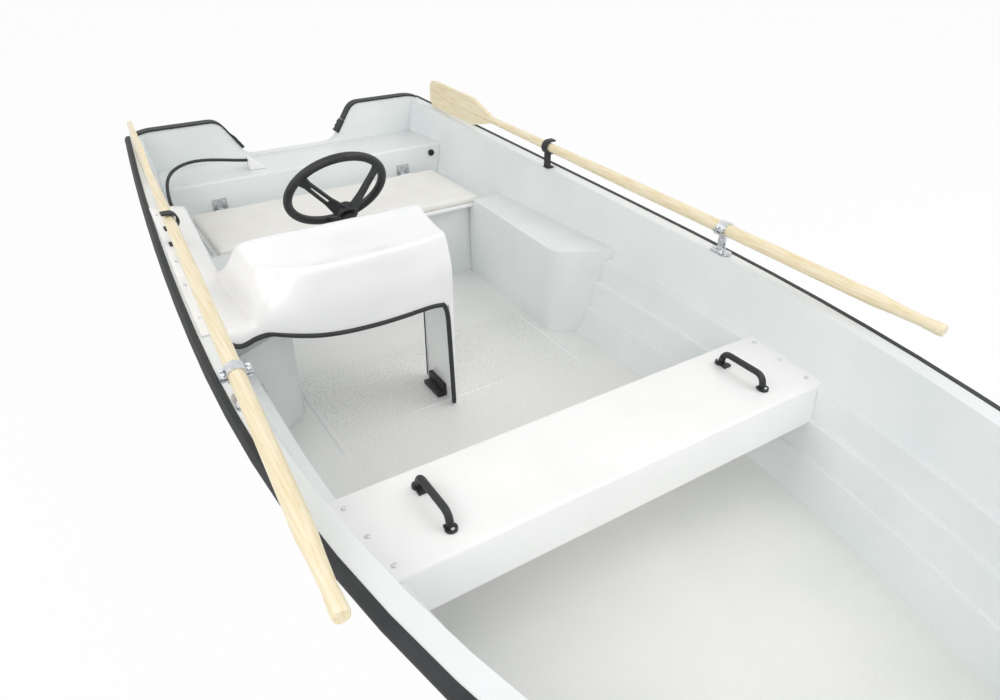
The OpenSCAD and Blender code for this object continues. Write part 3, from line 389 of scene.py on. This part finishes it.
# How far each moulded edge is rounded, in metres
ROUNDED = {
    "rear_bench": 0.006, "stern_ledge": 0.002, "side_bench_starboard": 0.010, "side_bench_port": 0.010,
    "bow_locker": 0.010, "seat_lid": 0.004, "console_foot": 0.004, "cable_ramp": 0.006,
    "thwart": 0.0015, "helm": 0.002, "transom": 0.004, "keel_plank": 0.004,
}
SAME_POINT = 0.00002
ROUNDED_FROM = math.radians(40)
CRISP_FROM = math.radians(32)
for part in frame["record"]["subparts"]:
    solid = boat[part["node"]]
    solid.data.materials.clear()
    solid.data.materials.append(FINISHES[part["material_slot"]])
    for face in solid.data.polygons:
        face.use_smooth = True
    weld = solid.modifiers.new("join_triangles", "WELD")
    weld.merge_threshold = SAME_POINT
    if part["node"] in ROUNDED:
        bevel = solid.modifiers.new("moulded_edge", "BEVEL")
        bevel.width = ROUNDED[part["node"]]
        bevel.segments = 3
        bevel.limit_method = "ANGLE"
        bevel.angle_limit = ROUNDED_FROM
    split = solid.modifiers.new("crisp_corners", "EDGE_SPLIT")
    split.split_angle = CRISP_FROM

# %% [markdown]
# ## Workshop steps
# Operators act on all that is selected, so each new piece is first selected alone. Its modifiers are then
# applied one by one, so that a plain mesh is left, and the finished piece gets its finish and is set on
# the body that it moves with. These three steps come back on every piece below.


# %% Select, apply and carry
def only(piece):
    bpy.ops.object.select_all(action="DESELECT")
    piece.select_set(True)
    bpy.context.view_layer.objects.active = piece


def apply_all(piece):
    only(piece)
    for modifier in list(piece.modifiers):
        bpy.ops.object.modifier_apply(modifier=modifier.name)


def carry(piece, body, slot):
    only(piece)
    bpy.ops.object.transform_apply(location=True, rotation=True, scale=True)
    piece.data.materials.clear()
    piece.data.materials.append(FINISHES[slot])
    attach(piece, body)


# %% [markdown]
# ## The padded seat
# The stern seat is a thin foam pad under vinyl, with soft rounded edges and a low crown. A block of the
# pad's size is rounded and remeshed, then blown up a little as cloth so that the cover tightens over the
# foam, and its underside stays flat on the lid.


# %% Model the seat pad
def block(name, middle, size):
    bpy.ops.object.select_all(action="DESELECT")
    bpy.ops.mesh.primitive_cube_add(size=1, location=middle)
    piece = bpy.context.object
    piece.name = name
    piece.scale = size
    bpy.ops.object.transform_apply(location=True, rotation=True, scale=True)
    return piece


def round_edges(piece, width, segments):
    bevel = piece.modifiers.new("rounded_edges", "BEVEL")
    bevel.width = width
    bevel.segments = segments
    apply_all(piece)


SWELL = 0.004
low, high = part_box("seat_pad")
size = high - low - Vector((2 * SWELL, 2 * SWELL, SWELL))
middle = (low + high) / 2
middle.z = low.z + size.z / 2
seat = block("seat_cushion", middle, size)
round_edges(seat, 0.013, 5)
remesh = seat.modifiers.new("even_mesh", "REMESH")
remesh.mode = "VOXEL"
remesh.voxel_size = 0.007
apply_all(seat)
rest_shape = [v.co.copy() for v in seat.data.vertices]
print("seat pad mesh:", len(rest_shape), "points")


# %% Tighten the cover over the foam
def soften(piece, levels):
    smooth = piece.modifiers.new("smooth_surface", "SUBSURF")
    smooth.levels = levels
    smooth.render_levels = levels
    apply_all(piece)


LAST_MOMENT = 20
cover = seat.modifiers.new("vinyl_cover", "CLOTH")
cover.settings.use_pressure = True
cover.settings.uniform_pressure_force = 4.0
cover.settings.effector_weights.gravity = 0.0
for moment in range(1, LAST_MOMENT + 1):
    bpy.context.scene.frame_set(moment)
shaped = seat.evaluated_get(bpy.context.evaluated_depsgraph_get())
blown = [v.co.copy() for v in shaped.data.vertices]
seat.modifiers.remove(cover)
for point, start, end in zip(seat.data.vertices, rest_shape, blown):
    move = end - start
    if move.length > SWELL:
        move *= SWELL / move.length
    point.co = start + move
    point.co.z = max(point.co.z, low.z)
bpy.context.scene.frame_set(1)
soften(seat, 1)
bpy.ops.object.shade_smooth()
carry(seat, "stern_seat", "seat_vinyl")
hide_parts("seat_pad")
print("seat:", [round(c, 3) for c in seat.dimensions])

# %% [markdown]
# ## Screws
# Pan head screws hold the thwart, the rowlock plates, the grab handles, the hinges and the moulding along
# the starboard gunwale. One is modelled with its driver recess, at a radius of 1, then copied to each
# place at its real size and turned to face out of the surface that it holds.


# %% Model one screw
def disc(name, sides, radius, depth):
    bpy.ops.object.select_all(action="DESELECT")
    bpy.ops.mesh.primitive_cylinder_add(vertices=sides, radius=radius, depth=depth,
                                        location=(0, 0, depth / 2))
    piece = bpy.context.object
    piece.name = name
    bpy.ops.object.transform_apply(location=True)
    return piece


def near_top(piece, height):
    for face in piece.data.polygons:
        face.select = face.center.z > height


def shade(piece, degrees):
    only(piece)
    bpy.ops.object.shade_smooth_by_angle(angle=math.radians(degrees))


screw_head = disc("screw_head", 24, 1.0, 0.7)
bpy.ops.object.mode_set(mode="EDIT")
bpy.ops.mesh.select_all(action="DESELECT")
bpy.ops.mesh.select_mode(type="FACE")
bpy.ops.object.mode_set(mode="OBJECT")
near_top(screw_head, 0.69)
bpy.ops.object.mode_set(mode="EDIT")
bpy.ops.mesh.bevel(offset=0.32, segments=4, affect="EDGES")
bpy.ops.object.mode_set(mode="OBJECT")
near_top(screw_head, 0.69)
bpy.ops.object.mode_set(mode="EDIT")
bpy.ops.mesh.inset(thickness=0.28)
bpy.ops.mesh.extrude_region_move(TRANSFORM_OT_translate={"value": (0, 0, -0.25)})
bpy.ops.transform.resize(value=(0.55, 0.55, 1))
bpy.ops.object.mode_set(mode="OBJECT")
shade(screw_head, 35)
print("screw head faces:", len(screw_head.data.polygons))


# %% Find a surface and settle a copy on it
def touch(piece, start, towards):
    hit, place, outward, face = piece.ray_cast(Vector(start), Vector(towards))
    if not hit:
        raise ValueError(f"no surface of {piece.name} from {start}")
    return place, outward


def settle(source, name, at, facing, size, body, slot, spin=0.0):
    only(source)
    bpy.ops.object.duplicate(linked=False)
    copy = bpy.context.object
    copy.name = name
    copy.scale = (size, size, size)
    copy.rotation_mode = "QUATERNION"
    about_axis = Matrix.Rotation(spin, 3, "Z").to_quaternion()
    copy.rotation_quaternion = Vector(facing).to_track_quat("Z", "Y") @ about_axis
    copy.location = at
    carry(copy, body, slot)


def drive_screw(name, piece, start, towards, radius):
    place, outward = touch(piece, start, towards)
    settle(screw_head, name, place, outward, radius, "boat", "galvanised_steel")


DOWN = (0, 0, -1)
ABOVE_THWART = 0.5
THWART_SCREWS = [(0.155, 0.662), (0.260, 0.651), (0.363, 0.637)]
top, outward = touch(boat["thwart"], (*THWART_SCREWS[0], ABOVE_THWART), DOWN)
print("thwart top at", round(top.z, 3), "m")

# %% Copy the screws to their places
SIDES = ((1, "port"), (-1, "starboard"))
AFT = (-1, 0, 0)
# Radius of a screw's head, in metres
LARGE_SCREW = 0.0062
PLATE_SCREW = 0.0055
SMALL_SCREW = 0.0045
PLATE_INSET = 0.013
PLATE_CLEAR = 0.009
HANDLE_INSET = 0.008
HINGE_FRONT = -1.6
HINGE_Y = 0.426
HINGE_SCREWS = [(-0.016, 0.448), (0.016, 0.448), (0.0, 0.460)]
for side, hand in SIDES:
    for count, (x, y) in enumerate(THWART_SCREWS):
        start = (x, side * y, ABOVE_THWART)
        drive_screw(f"thwart_screw_{hand}_{count}", boat["thwart"], start, DOWN, LARGE_SCREW)
    plate = f"rowlock_plate_{hand}"
    low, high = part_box(plate)
    y = (low.y + high.y) / 2
    for count, x in enumerate((low.x + PLATE_INSET, high.x - PLATE_INSET)):
        start = (x, y, low.z + PLATE_CLEAR)
        drive_screw(f"rowlock_screw_{hand}_{count}", boat[plate], start, DOWN, PLATE_SCREW)
    handle = f"grab_handle_{hand}"
    low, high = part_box(handle)
    y = (low.y + high.y) / 2
    for count, x in enumerate((low.x + HANDLE_INSET, high.x - HANDLE_INSET)):
        start = (x, y, ABOVE_THWART)
        drive_screw(f"handle_screw_{hand}_{count}", boat[handle], start, DOWN, SMALL_SCREW)
    leaves = boat["hinge_wall_leaves"]
    for count, (off, z) in enumerate(HINGE_SCREWS):
        start = (HINGE_FRONT, side * HINGE_Y + off, z)
        drive_screw(f"hinge_screw_{hand}_{count}", leaves, start, AFT, SMALL_SCREW)

# %% [markdown]
# ## Nuts on the oar clamps
# Each clamp is two bent straps drawn together by four bolts. The bolt shanks are in the solids; a hexagon
# nut is modelled once from a six sided cylinder with chamfered corners and set on both ends of every
# bolt.

# %% Model one nut
nut = disc("clamp_nut", 6, 1.0, 0.8)
near_top(nut, 0.79)
bpy.ops.object.mode_set(mode="EDIT")
bpy.ops.mesh.inset(thickness=0.16)
bpy.ops.transform.translate(value=(0, 0, 0.12))
bpy.ops.mesh.inset(thickness=0.22)
bpy.ops.transform.translate(value=(0, 0, 0.18))
bpy.ops.object.mode_set(mode="OBJECT")
round_edges(nut, 0.07, 2)
print("nut faces:", len(nut.data.polygons))

# %% Set the nuts on the bolts
# The middle of the port oar's clamp, and how the oar leans there
CLAMP = Vector((-0.126, 0.776916, 0.646633))
TILT = math.radians(2.9)
TOE = math.radians(3.2)
BOLT_ALONG = 0.0085
BOLT_ACROSS = 0.0298
STRAP_FACE = 0.0055
NUT_RADIUS = 0.0062
NEXT_TURN = 0.4
lean = Matrix.Rotation(TOE, 3, "Z") @ Matrix.Rotation(TILT, 3, "Y")
ends = [(along, across, face) for along in (-BOLT_ALONG, BOLT_ALONG)
        for across in (-BOLT_ACROSS, BOLT_ACROSS) for face in (1, -1)]
for side, hand in SIDES:
    for count, (along, across, face) in enumerate(ends):
        at = CLAMP + lean @ Vector((along, across, face * STRAP_FACE))
        out = lean @ Vector((0, 0, face))
        settle(nut, f"clamp_nut_{hand}_{count}", (at.x, side * at.y, at.z), (out.x, side * out.y, out.z),
               NUT_RADIUS, f"{hand}_oar", "galvanised_steel", spin=NEXT_TURN * count)
bpy.data.objects.remove(nut)

# %% [markdown]
# ## The steering cable
# A push-pull cable runs from under the stern bench rim, up over the ledge and into the moulded ramp
# beside the motor cut-out. It is stiff, so it keeps one smooth curve. The solid follows the same points
# with straight pieces; here a curve is drawn through them and given a round section.

# %% Find the cable's line
# Points in millimetres, with x counted from the stern
STERN_X = -2.1
CABLE = [(745, -625, 398), (742, -626, 420), (728, -629, 444), (690, -634, 470), (630, -638, 494),
         (560, -640, 520), (490, -638, 548), (430, -630, 572), (375, -615, 592), (325, -588, 606),
         (285, -548, 614), (258, -500, 616), (242, -450, 612), (234, -400, 604), (230, -350, 594),
         (228, -300, 584), (228, -262, 578)]
CABLE_WIDTH = 0.013
route = [Vector((x / 1000 + STERN_X, y / 1000, z / 1000)) for x, y, z in CABLE]


def smooth_route(points, steps):
    line = []
    ends = [points[0]] + points + [points[-1]]
    for a, b, c, d in zip(ends, ends[1:], ends[2:], ends[3:]):
        for k in range(steps):
            t = k / steps
            bend = (2 * a - 5 * b + 4 * c - d) + t * (3 * (b - c) + d - a)
            line.append(b + 0.5 * t * ((c - a) + t * bend))
    return line + [points[-1]]


line = smooth_route(route, 2)


# %% Draw the cable
def round_line(name, points, radius, rings):
    bpy.ops.object.select_all(action="DESELECT")
    bpy.ops.curve.primitive_bezier_curve_add(location=(0, 0, 0))
    piece = bpy.context.object
    piece.name = name
    piece.data.splines.clear()
    spline = piece.data.splines.new("POLY")
    spline.points.add(len(points) - 1)
    for point, place in zip(spline.points, points):
        point.co = (*place, 1.0)
    spline.use_smooth = True
    piece.data.dimensions = "3D"
    piece.data.bevel_depth = radius
    piece.data.bevel_resolution = rings
    piece.data.use_fill_caps = True
    return piece


cable = round_line("steering_cable_sheath", line, CABLE_WIDTH / 2, 5)
cable.data.materials.append(black_plastic)
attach(cable, "boat")
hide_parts("steering_cable")
print("cable points:", len(line))

# %% [markdown]
# ## The console cowl
# The steering console is one thin white moulding: a dash behind the wheel, a dished top, a front that
# bows forward, and a low wing that runs out to the gunwale. A flat sheet of faces is bent to it, row by
# row from the dash over the top and down the front, and column by column from the gunwale to the inboard
# side. Subdivision smooths the sheet, and Solidify gives it the wall of the moulding.

# %% Lines of the cowl
# Pairs of y and x, or y and z, in metres: the front's upper lip, its lower edge, and the wing
LIP_X = [(-0.606, -0.545), (-0.597, -0.523), (-0.566, -0.482), (-0.50, -0.443), (-0.395, -0.430),
         (-0.23, -0.440), (-0.105, -0.452), (-0.05, -0.475)]
LOW_X = [(-0.79, -0.452), (-0.66, -0.448), (-0.60, -0.442), (-0.50, -0.430), (-0.395, -0.424),
         (-0.23, -0.427), (-0.10, -0.431), (-0.05, -0.440)]
LOW_Z = [(-0.79, 0.582), (-0.757, 0.581), (-0.742, 0.556), (-0.717, 0.511), (-0.687, 0.517),
         (-0.661, 0.533), (-0.612, 0.538), (-0.54, 0.507), (-0.445, 0.487), (-0.34, 0.483),
         (-0.23, 0.480), (-0.155, 0.487), (-0.11, 0.491), (-0.085, 0.480), (-0.05, 0.462)]
WING_Z = [(-0.735, 0.581), (-0.70, 0.572), (-0.665, 0.574), (-0.64, 0.582), (-0.60, 0.600)]
# The dash and the top as x and z, from the dash's foot forward
DASH = [(-0.754, 0.580), (-0.700, 0.6574), (-0.658, 0.7175), (-0.642, 0.737), (-0.622, 0.737),
        (-0.600, 0.722)]
# The wing's rows from aft to its front edge: x, and how far each has dropped towards that edge
WING_X = [-0.80, -0.77, -0.74, -0.71, -0.68, -0.64, -0.58, -0.52, -0.485, -0.464, -0.453, -0.449, -0.449]
WING_DROP = [0, 0, 0, 0, 0, 0, 0, 0, 0, 0.06, 0.25, 0.5, 0.78, 1]
ROWS = len(WING_DROP)
# Columns from the gunwale inboard: y, and how far the sheet has risen from the wing to the console
COLUMNS = [(-0.788, 0), (-0.757, 0), (-0.735, 0), (-0.70, 0), (-0.665, 0.01), (-0.642, 0.06),
           (-0.625, 0.42), (-0.609, 0.9), (-0.588, 1), (-0.50, 1), (-0.395, 1), (-0.23, 1),
           (-0.12, 1), (-0.075, 1), (-0.053, 0.985)]
# The inboard side goes on from the last column, in three steps that close it
SIDE_Y = -0.053
SIDE_FACE_Y = -0.050
SIDE_STEPS = (0.06, 0.5, 1.0)
print("cowl lines:", ROWS, "rows by", len(COLUMNS) + len(SIDE_STEPS), "columns")


# %% Rows of the console and of the wing
# The wing's outer edge follows the gunwale, which falls and widens from the stern towards the middle
GUNWALE_Z = 0.6
GUNWALE_Z_AT = -0.78
GUNWALE_FALL = 0.05
GUNWALE_FLARE = 0.041
GUNWALE_WIDEST = -0.46
GUNWALE_EDGE = -0.73
GUNWALE_BLEND = 0.02
REAR_LIFT = 0.019
REAR_LIFT_ROWS = 4


def share(value):
    return max(0.0, min(1.0, value))


def between(table, at):
    for (a, low_value), (b, high_value) in zip(table, table[1:]):
        if at <= b:
            return low_value + (high_value - low_value) * max(0.0, (at - a) / (b - a))
    return table[-1][1]


# The top dishes towards the lip and the front bows down to its lower edge, as steps from those two lines
def console_row(row, y):
    lip = between(LIP_X, y)
    low_x = between(LOW_X, y)
    dish = [(0.5 * (lip - 0.62), 0.711), (lip - 0.020, 0.702)]
    front = [(lip, 0.706), (lip + 0.012, 0.695), (0.4 * lip + 0.6 * low_x + 0.008, 0.655),
             (low_x + 0.010, 0.595), (low_x + 0.005, 0.53), (low_x, between(LOW_Z, y))]
    return (DASH + dish + front)[row]


def wing_row(row, y):
    x = WING_X[row] if row < ROWS - 1 else between(LOW_X, y)
    outer = GUNWALE_Z - GUNWALE_FALL * (x - GUNWALE_Z_AT)
    inner = between(WING_Z, y) + REAR_LIFT * max(0.0, 1 - row / REAR_LIFT_ROWS)
    z = inner + (outer - inner) * share((GUNWALE_EDGE - y) / GUNWALE_BLEND)
    return x, z + (between(LOW_Z, y) - z) * WING_DROP[row]


print("dash foot at", console_row(0, SIDE_Y), "front edge at", console_row(ROWS - 1, SIDE_Y))


# %% Bend the sheet to the cowl
def flat_sheet(name, faces_long, faces_wide):
    bpy.ops.object.select_all(action="DESELECT")
    bpy.ops.mesh.primitive_grid_add(x_subdivisions=faces_long, y_subdivisions=faces_wide, size=1,
                                    location=(0, 0, 0))
    piece = bpy.context.object
    piece.name = name
    return piece


# The outboard flank leans out by 24 mm at the dash and stands upright from the tenth row on
FLANK = range(5, 9)
FLANK_LEAN = 0.024
FLANK_ROWS = 9


def cowl_point(row, column):
    if column < len(COLUMNS):
        y, rise = COLUMNS[column]
        wing_x, wing_z = wing_row(row, y)
        top_x, top_z = console_row(row, y)
        x = wing_x + (top_x - wing_x) * rise
        if column == 0:
            y += GUNWALE_FLARE * (GUNWALE_WIDEST - x)
        if column in FLANK:
            y -= FLANK_LEAN * max(0.0, 1 - row / FLANK_ROWS)
        return Vector((x, y, wing_z + (top_z - wing_z) * rise))
    # The inboard side closes flat, from the outline to the chord between the dash and the front edge
    outline = Vector(console_row(row, SIDE_Y))
    start = Vector(console_row(0, SIDE_Y))
    chord = Vector(console_row(ROWS - 1, SIDE_Y)) - start
    foot = start + chord * share((outline - start).dot(chord) / chord.length_squared)
    x, z = outline + (foot - outline) * SIDE_STEPS[column - len(COLUMNS)]
    return Vector((x, SIDE_FACE_Y, z))


last_row = ROWS - 1
last_column = len(COLUMNS) + len(SIDE_STEPS) - 1
cowl = flat_sheet("console_cowl", last_row, last_column)
for point in cowl.data.vertices:
    row = round((point.co.x + 0.5) * last_row)
    column = round((point.co.y + 0.5) * last_column)
    point.co = cowl_point(row, column)
print("cowl points:", len(cowl.data.vertices))


# %% Smooth the cowl and give it a wall
def thicken(piece, wall):
    shell = piece.modifiers.new("moulding_wall", "SOLIDIFY")
    shell.thickness = wall
    shell.offset = -1
    apply_all(piece)


WALL = 0.004
# The front edge is the part of the sheet's rim ahead of, below and between these
FRONT_X = -0.455
FRONT_Z = 0.57
FRONT_Y = (-0.73, -0.09)
soften(cowl, 3)
uses = {}
for face in cowl.data.polygons:
    for pair in face.edge_keys:
        uses[pair] = uses.get(pair, 0) + 1
rim = {index for pair, count in uses.items() if count == 1 for index in pair}
rim = [cowl.data.vertices[index].co.copy() for index in rim]
front = [p for p in rim if p.x > FRONT_X and p.z < FRONT_Z and FRONT_Y[0] < p.y < FRONT_Y[1]]
front.sort(key=lambda p: p.y)
thicken(cowl, WALL)
shade(cowl, 40)
carry(cowl, "boat", "white_moulding")
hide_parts("console")
print("cowl faces:", len(cowl.data.polygons), "front edge points:", len(front))

# %% [markdown]
# ## Leg, edge bead and side capping
# The console stands on one flat leg at its inboard end, with a narrow flange along the leg's front. A
# black rubber bead is pushed over the raw edge of the moulding, along the front and round into the leg.
# Aft of the wing a narrow capping runs along the gunwale to the stern; it is the solid itself, cut off
# where the wing lies over it.

# %% Leg and its flange
LEG_FRONT = -0.4385
LEG_REAR = -0.640
LEG_Y = -0.0535
LEG_FOOT = 0.0885
LEG_TOP = 0.56
LEG_HALFWAY = 0.3
FLANGE_X = LEG_FRONT - 0.0015
FLANGE_Y = -0.058
FLANGE_TOP = 0.52
leg = block("console_leg", ((LEG_FRONT + LEG_REAR) / 2, LEG_Y, (LEG_FOOT + LEG_TOP) / 2),
            (LEG_FRONT - LEG_REAR, 0.006, LEG_TOP - LEG_FOOT))
# The leg narrows a little towards its top
for point in leg.data.vertices:
    if point.co.z > LEG_HALFWAY:
        point.co.x += 0.006 if point.co.x < (LEG_FRONT + LEG_REAR) / 2 else -0.004
round_edges(leg, 0.002, 3)

flange = block("leg_front_flange", (FLANGE_X, FLANGE_Y, (LEG_FOOT + FLANGE_TOP) / 2),
               (0.004, 0.016, FLANGE_TOP - LEG_FOOT))
# The flange narrows towards its foot
for point in flange.data.vertices:
    if point.co.y < FLANGE_Y and point.co.z < LEG_HALFWAY:
        point.co.y += 0.007
round_edges(flange, 0.0012, 2)
for piece in (leg, flange):
    shade(piece, 35)
    carry(piece, "boat", "white_moulding")
print("leg height:", round(leg.dimensions.z, 3))

# %% Edge bead
BEAD = 0.0075
REAR_BEAD = 0.005
# From the front edge round into the leg and down to its foot
TURN = [(-0.4335, -0.086, 0.478), (-0.4345, -0.076, 0.456), (-0.4355, -0.071, 0.42),
        (-0.4370, -0.068, 0.36), (-0.4375, -0.0655, 0.28), (-0.4375, -0.0625, 0.18),
        (-0.4375, -0.0605, LEG_FOOT + BEAD)]
REAR_EDGE = [(-0.637, LEG_Y, 0.47), (LEG_REAR, LEG_Y, LEG_FOOT + 0.0065)]


def bead(name, points, radius):
    strip = round_line(name, points, radius, 4)
    only(strip)
    bpy.ops.object.convert(target="MESH")
    strip = bpy.context.object
    shade(strip, 50)
    carry(strip, "boat", "fender_rubber")
    return strip


edge_line = smooth_route(front[::4] + [Vector(place) for place in TURN], 3)
edge_bead = bead("console_edge_bead", edge_line, BEAD)
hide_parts("console_trim")
bead("leg_rear_bead", REAR_EDGE, REAR_BEAD)
print("bead points:", len(edge_line))

# %% Side capping
CAPPING_FORE = -0.79
only(boat["console_side_panel"])
bpy.ops.object.duplicate(linked=False)
capping = bpy.context.object
capping.name = "side_capping"
capping.modifiers.clear()
bpy.ops.object.mode_set(mode="EDIT")
bpy.ops.mesh.select_all(action="SELECT")
bpy.ops.mesh.remove_doubles(threshold=SAME_POINT)
bpy.ops.mesh.bisect(plane_co=(CAPPING_FORE, 0, 0), plane_no=(1, 0, 0), use_fill=True, clear_outer=True)
bpy.ops.object.mode_set(mode="OBJECT")
shade(capping, 12)
carry(capping, "boat", "white_moulding")
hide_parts("console_side_panel")
print("capping length:", round(capping.dimensions.x, 3))

# %% [markdown]
# ## Gunwale strip
# Above the capping a flat strip of the same moulding carries the wing's line on along the gunwale, with
# its inner edge turned down. It is a sheet of faces laid along the liner's flange by rays from above, and
# given a wall. Two screws hold the strip and two more hold the wing.

# %% Lay the strip along the gunwale
STRIP_AFT = -1.34
STRIP_FORE = -0.785
STRIP_FACES = 12
STRIP_CLEAR = 0.006
STRIP_FLARE = 1.2 * GUNWALE_FLARE
FLANGE_MIDDLE = -0.760
ABOVE_GUNWALE = 1.0
# Across the strip from outboard: y at the widest beam, and how far it has turned down
STRIP = [(-0.788, 0.0), (-0.757, 0.0), (-0.715, -0.007), (-0.678, -0.014), (-0.670, -0.022)]
last_line = len(STRIP) - 1
strip = flat_sheet("gunwale_strip", STRIP_FACES, last_line)
for point in strip.data.vertices:
    x = STRIP_AFT + (STRIP_FORE - STRIP_AFT) * (point.co.x + 0.5)
    y, fall = STRIP[round((point.co.y + 0.5) * last_line)]
    inward = STRIP_FLARE * (GUNWALE_WIDEST - x)
    place, outward = touch(boat["liner"], (x, inward + FLANGE_MIDDLE, ABOVE_GUNWALE), DOWN)
    point.co = (x, y + inward, place.z + STRIP_CLEAR + fall)
thicken(strip, WALL)
round_edges(strip, 0.0015, 2)
shade(strip, 30)
carry(strip, "boat", "white_moulding")
print("strip length:", round(strip.dimensions.x, 3))

# %% Screws along the strip and the wing
PANEL_SCREW = 0.005
EDGE_INSET = 0.016
NEARBY = 0.06
for count, (piece, x) in enumerate([(strip, -1.27), (strip, -0.90), (cowl, -0.74), (cowl, -0.54)]):
    outer = min(v.co.y for v in piece.data.vertices if abs(v.co.x - x) < NEARBY)
    start = (x, outer + EDGE_INSET, ABOVE_GUNWALE)
    drive_screw(f"panel_screw_{count}", piece, start, DOWN, PANEL_SCREW)

# %% [markdown]
# ## Floor ribs
# Low rounded ribs are cast into the floor along both sides, and a finer one runs across behind the
# thwart. Each is a narrow sheet of faces laid down on the floor by rays from above, raised along its
# middle and sunk a hair at its edges so that it grows out of the moulding.

# %% Lay the ribs on the floor
RIB_Y = 0.470
RIB_AFT = -0.865
RIB_FORE = -0.36
CROSS_RIB_X = -0.474
ABOVE_FLOOR = 0.3
SUNK = 0.0004
# Each end of a rib runs out over a twelfth of its length
RUN_OUT = 12


def floor_rib(name, start, end, width, height):
    rib = flat_sheet(name, 48, 8)
    run = Vector(end) - Vector(start)
    across = Vector((-run.y, run.x)).normalized() * width
    for point in rib.data.vertices:
        along = point.co.x + 0.5
        off = point.co.y
        x, y = Vector(start) + run * along + across * off
        place, outward = touch(boat["liner"], (x, y, ABOVE_FLOOR), DOWN)
        ends = min(1.0, RUN_OUT * along, RUN_OUT * (1 - along))
        crown = math.sqrt(max(0.0, 1 - (2 * off) ** 2)) * ends
        point.co = (x, y, place.z - SUNK + height * crown)
    bpy.ops.object.shade_smooth()
    carry(rib, "boat", "liner_gelcoat")
    print(name, "is", round(height * 1000, 1), "mm high")


for side, hand in SIDES:
    floor_rib(f"floor_rib_inner_{hand}", (RIB_AFT, side * RIB_Y), (RIB_FORE, side * RIB_Y), 0.022, 0.004)
floor_rib("floor_rib_across", (CROSS_RIB_X, -0.215), (CROSS_RIB_X, 0.175), 0.014, 0.0025)

# %% [markdown]
# ## Wheel hub and console button
# The wheel's hub carries a round cap with a stepped rim. A small ribbed white button sits on the
# console's inboard side below its top edge. Both start as a short cylinder and get their steps by inset
# and extrude.

# %% Hub cap
SLOPE = math.radians(35)
WHEEL_FOOT = Vector((-0.69949, -0.244, 0.65818))
HUB_REACH = 0.096
axle = Vector((-math.cos(SLOPE), 0, math.sin(SLOPE)))
cap = disc("wheel_hub_cap", 48, 0.027, 0.006)
near_top(cap, 0.0055)
bpy.ops.object.mode_set(mode="EDIT")
bpy.ops.mesh.inset(thickness=0.004)
bpy.ops.mesh.extrude_region_move(TRANSFORM_OT_translate={"value": (0, 0, 0.004)})
bpy.ops.mesh.inset(thickness=0.005)
bpy.ops.mesh.extrude_region_move(TRANSFORM_OT_translate={"value": (0, 0, -0.002)})
bpy.ops.object.mode_set(mode="OBJECT")
round_edges(cap, 0.001, 3)
shade(cap, 35)
settle(cap, "steering_hub_cap", WHEEL_FOOT + axle * HUB_REACH, axle, 1.0, "wheel", "black_plastic")
print("hub cap faces:", len(cap.data.polygons))
bpy.data.objects.remove(cap)

# %% Ribbed console button
BUTTON_FROM = (-0.625, 0.2, 0.672)
OUTBOARD = (0, -1, 0)
button = disc("button", 28, 0.017, 0.014)
for index, face in enumerate(button.data.polygons):
    face.select = abs(face.normal.z) < 0.5 and index % 2 == 0
bpy.ops.object.mode_set(mode="EDIT")
bpy.ops.mesh.extrude_faces_move(TRANSFORM_OT_shrink_fatten={"value": -0.002})
bpy.ops.object.mode_set(mode="OBJECT")
near_top(button, 0.0138)
bpy.ops.object.mode_set(mode="EDIT")
bpy.ops.mesh.inset(thickness=0.004)
bpy.ops.mesh.extrude_region_move(TRANSFORM_OT_translate={"value": (0, 0, 0.003)})
bpy.ops.object.mode_set(mode="OBJECT")
place, outward = touch(cowl, BUTTON_FROM, OUTBOARD)
settle(button, "console_vent_button", place, outward, 1.0, "boat", "white_moulding")
print("button faces:", len(button.data.polygons))
bpy.data.objects.remove(button)
bpy.data.objects.remove(screw_head)
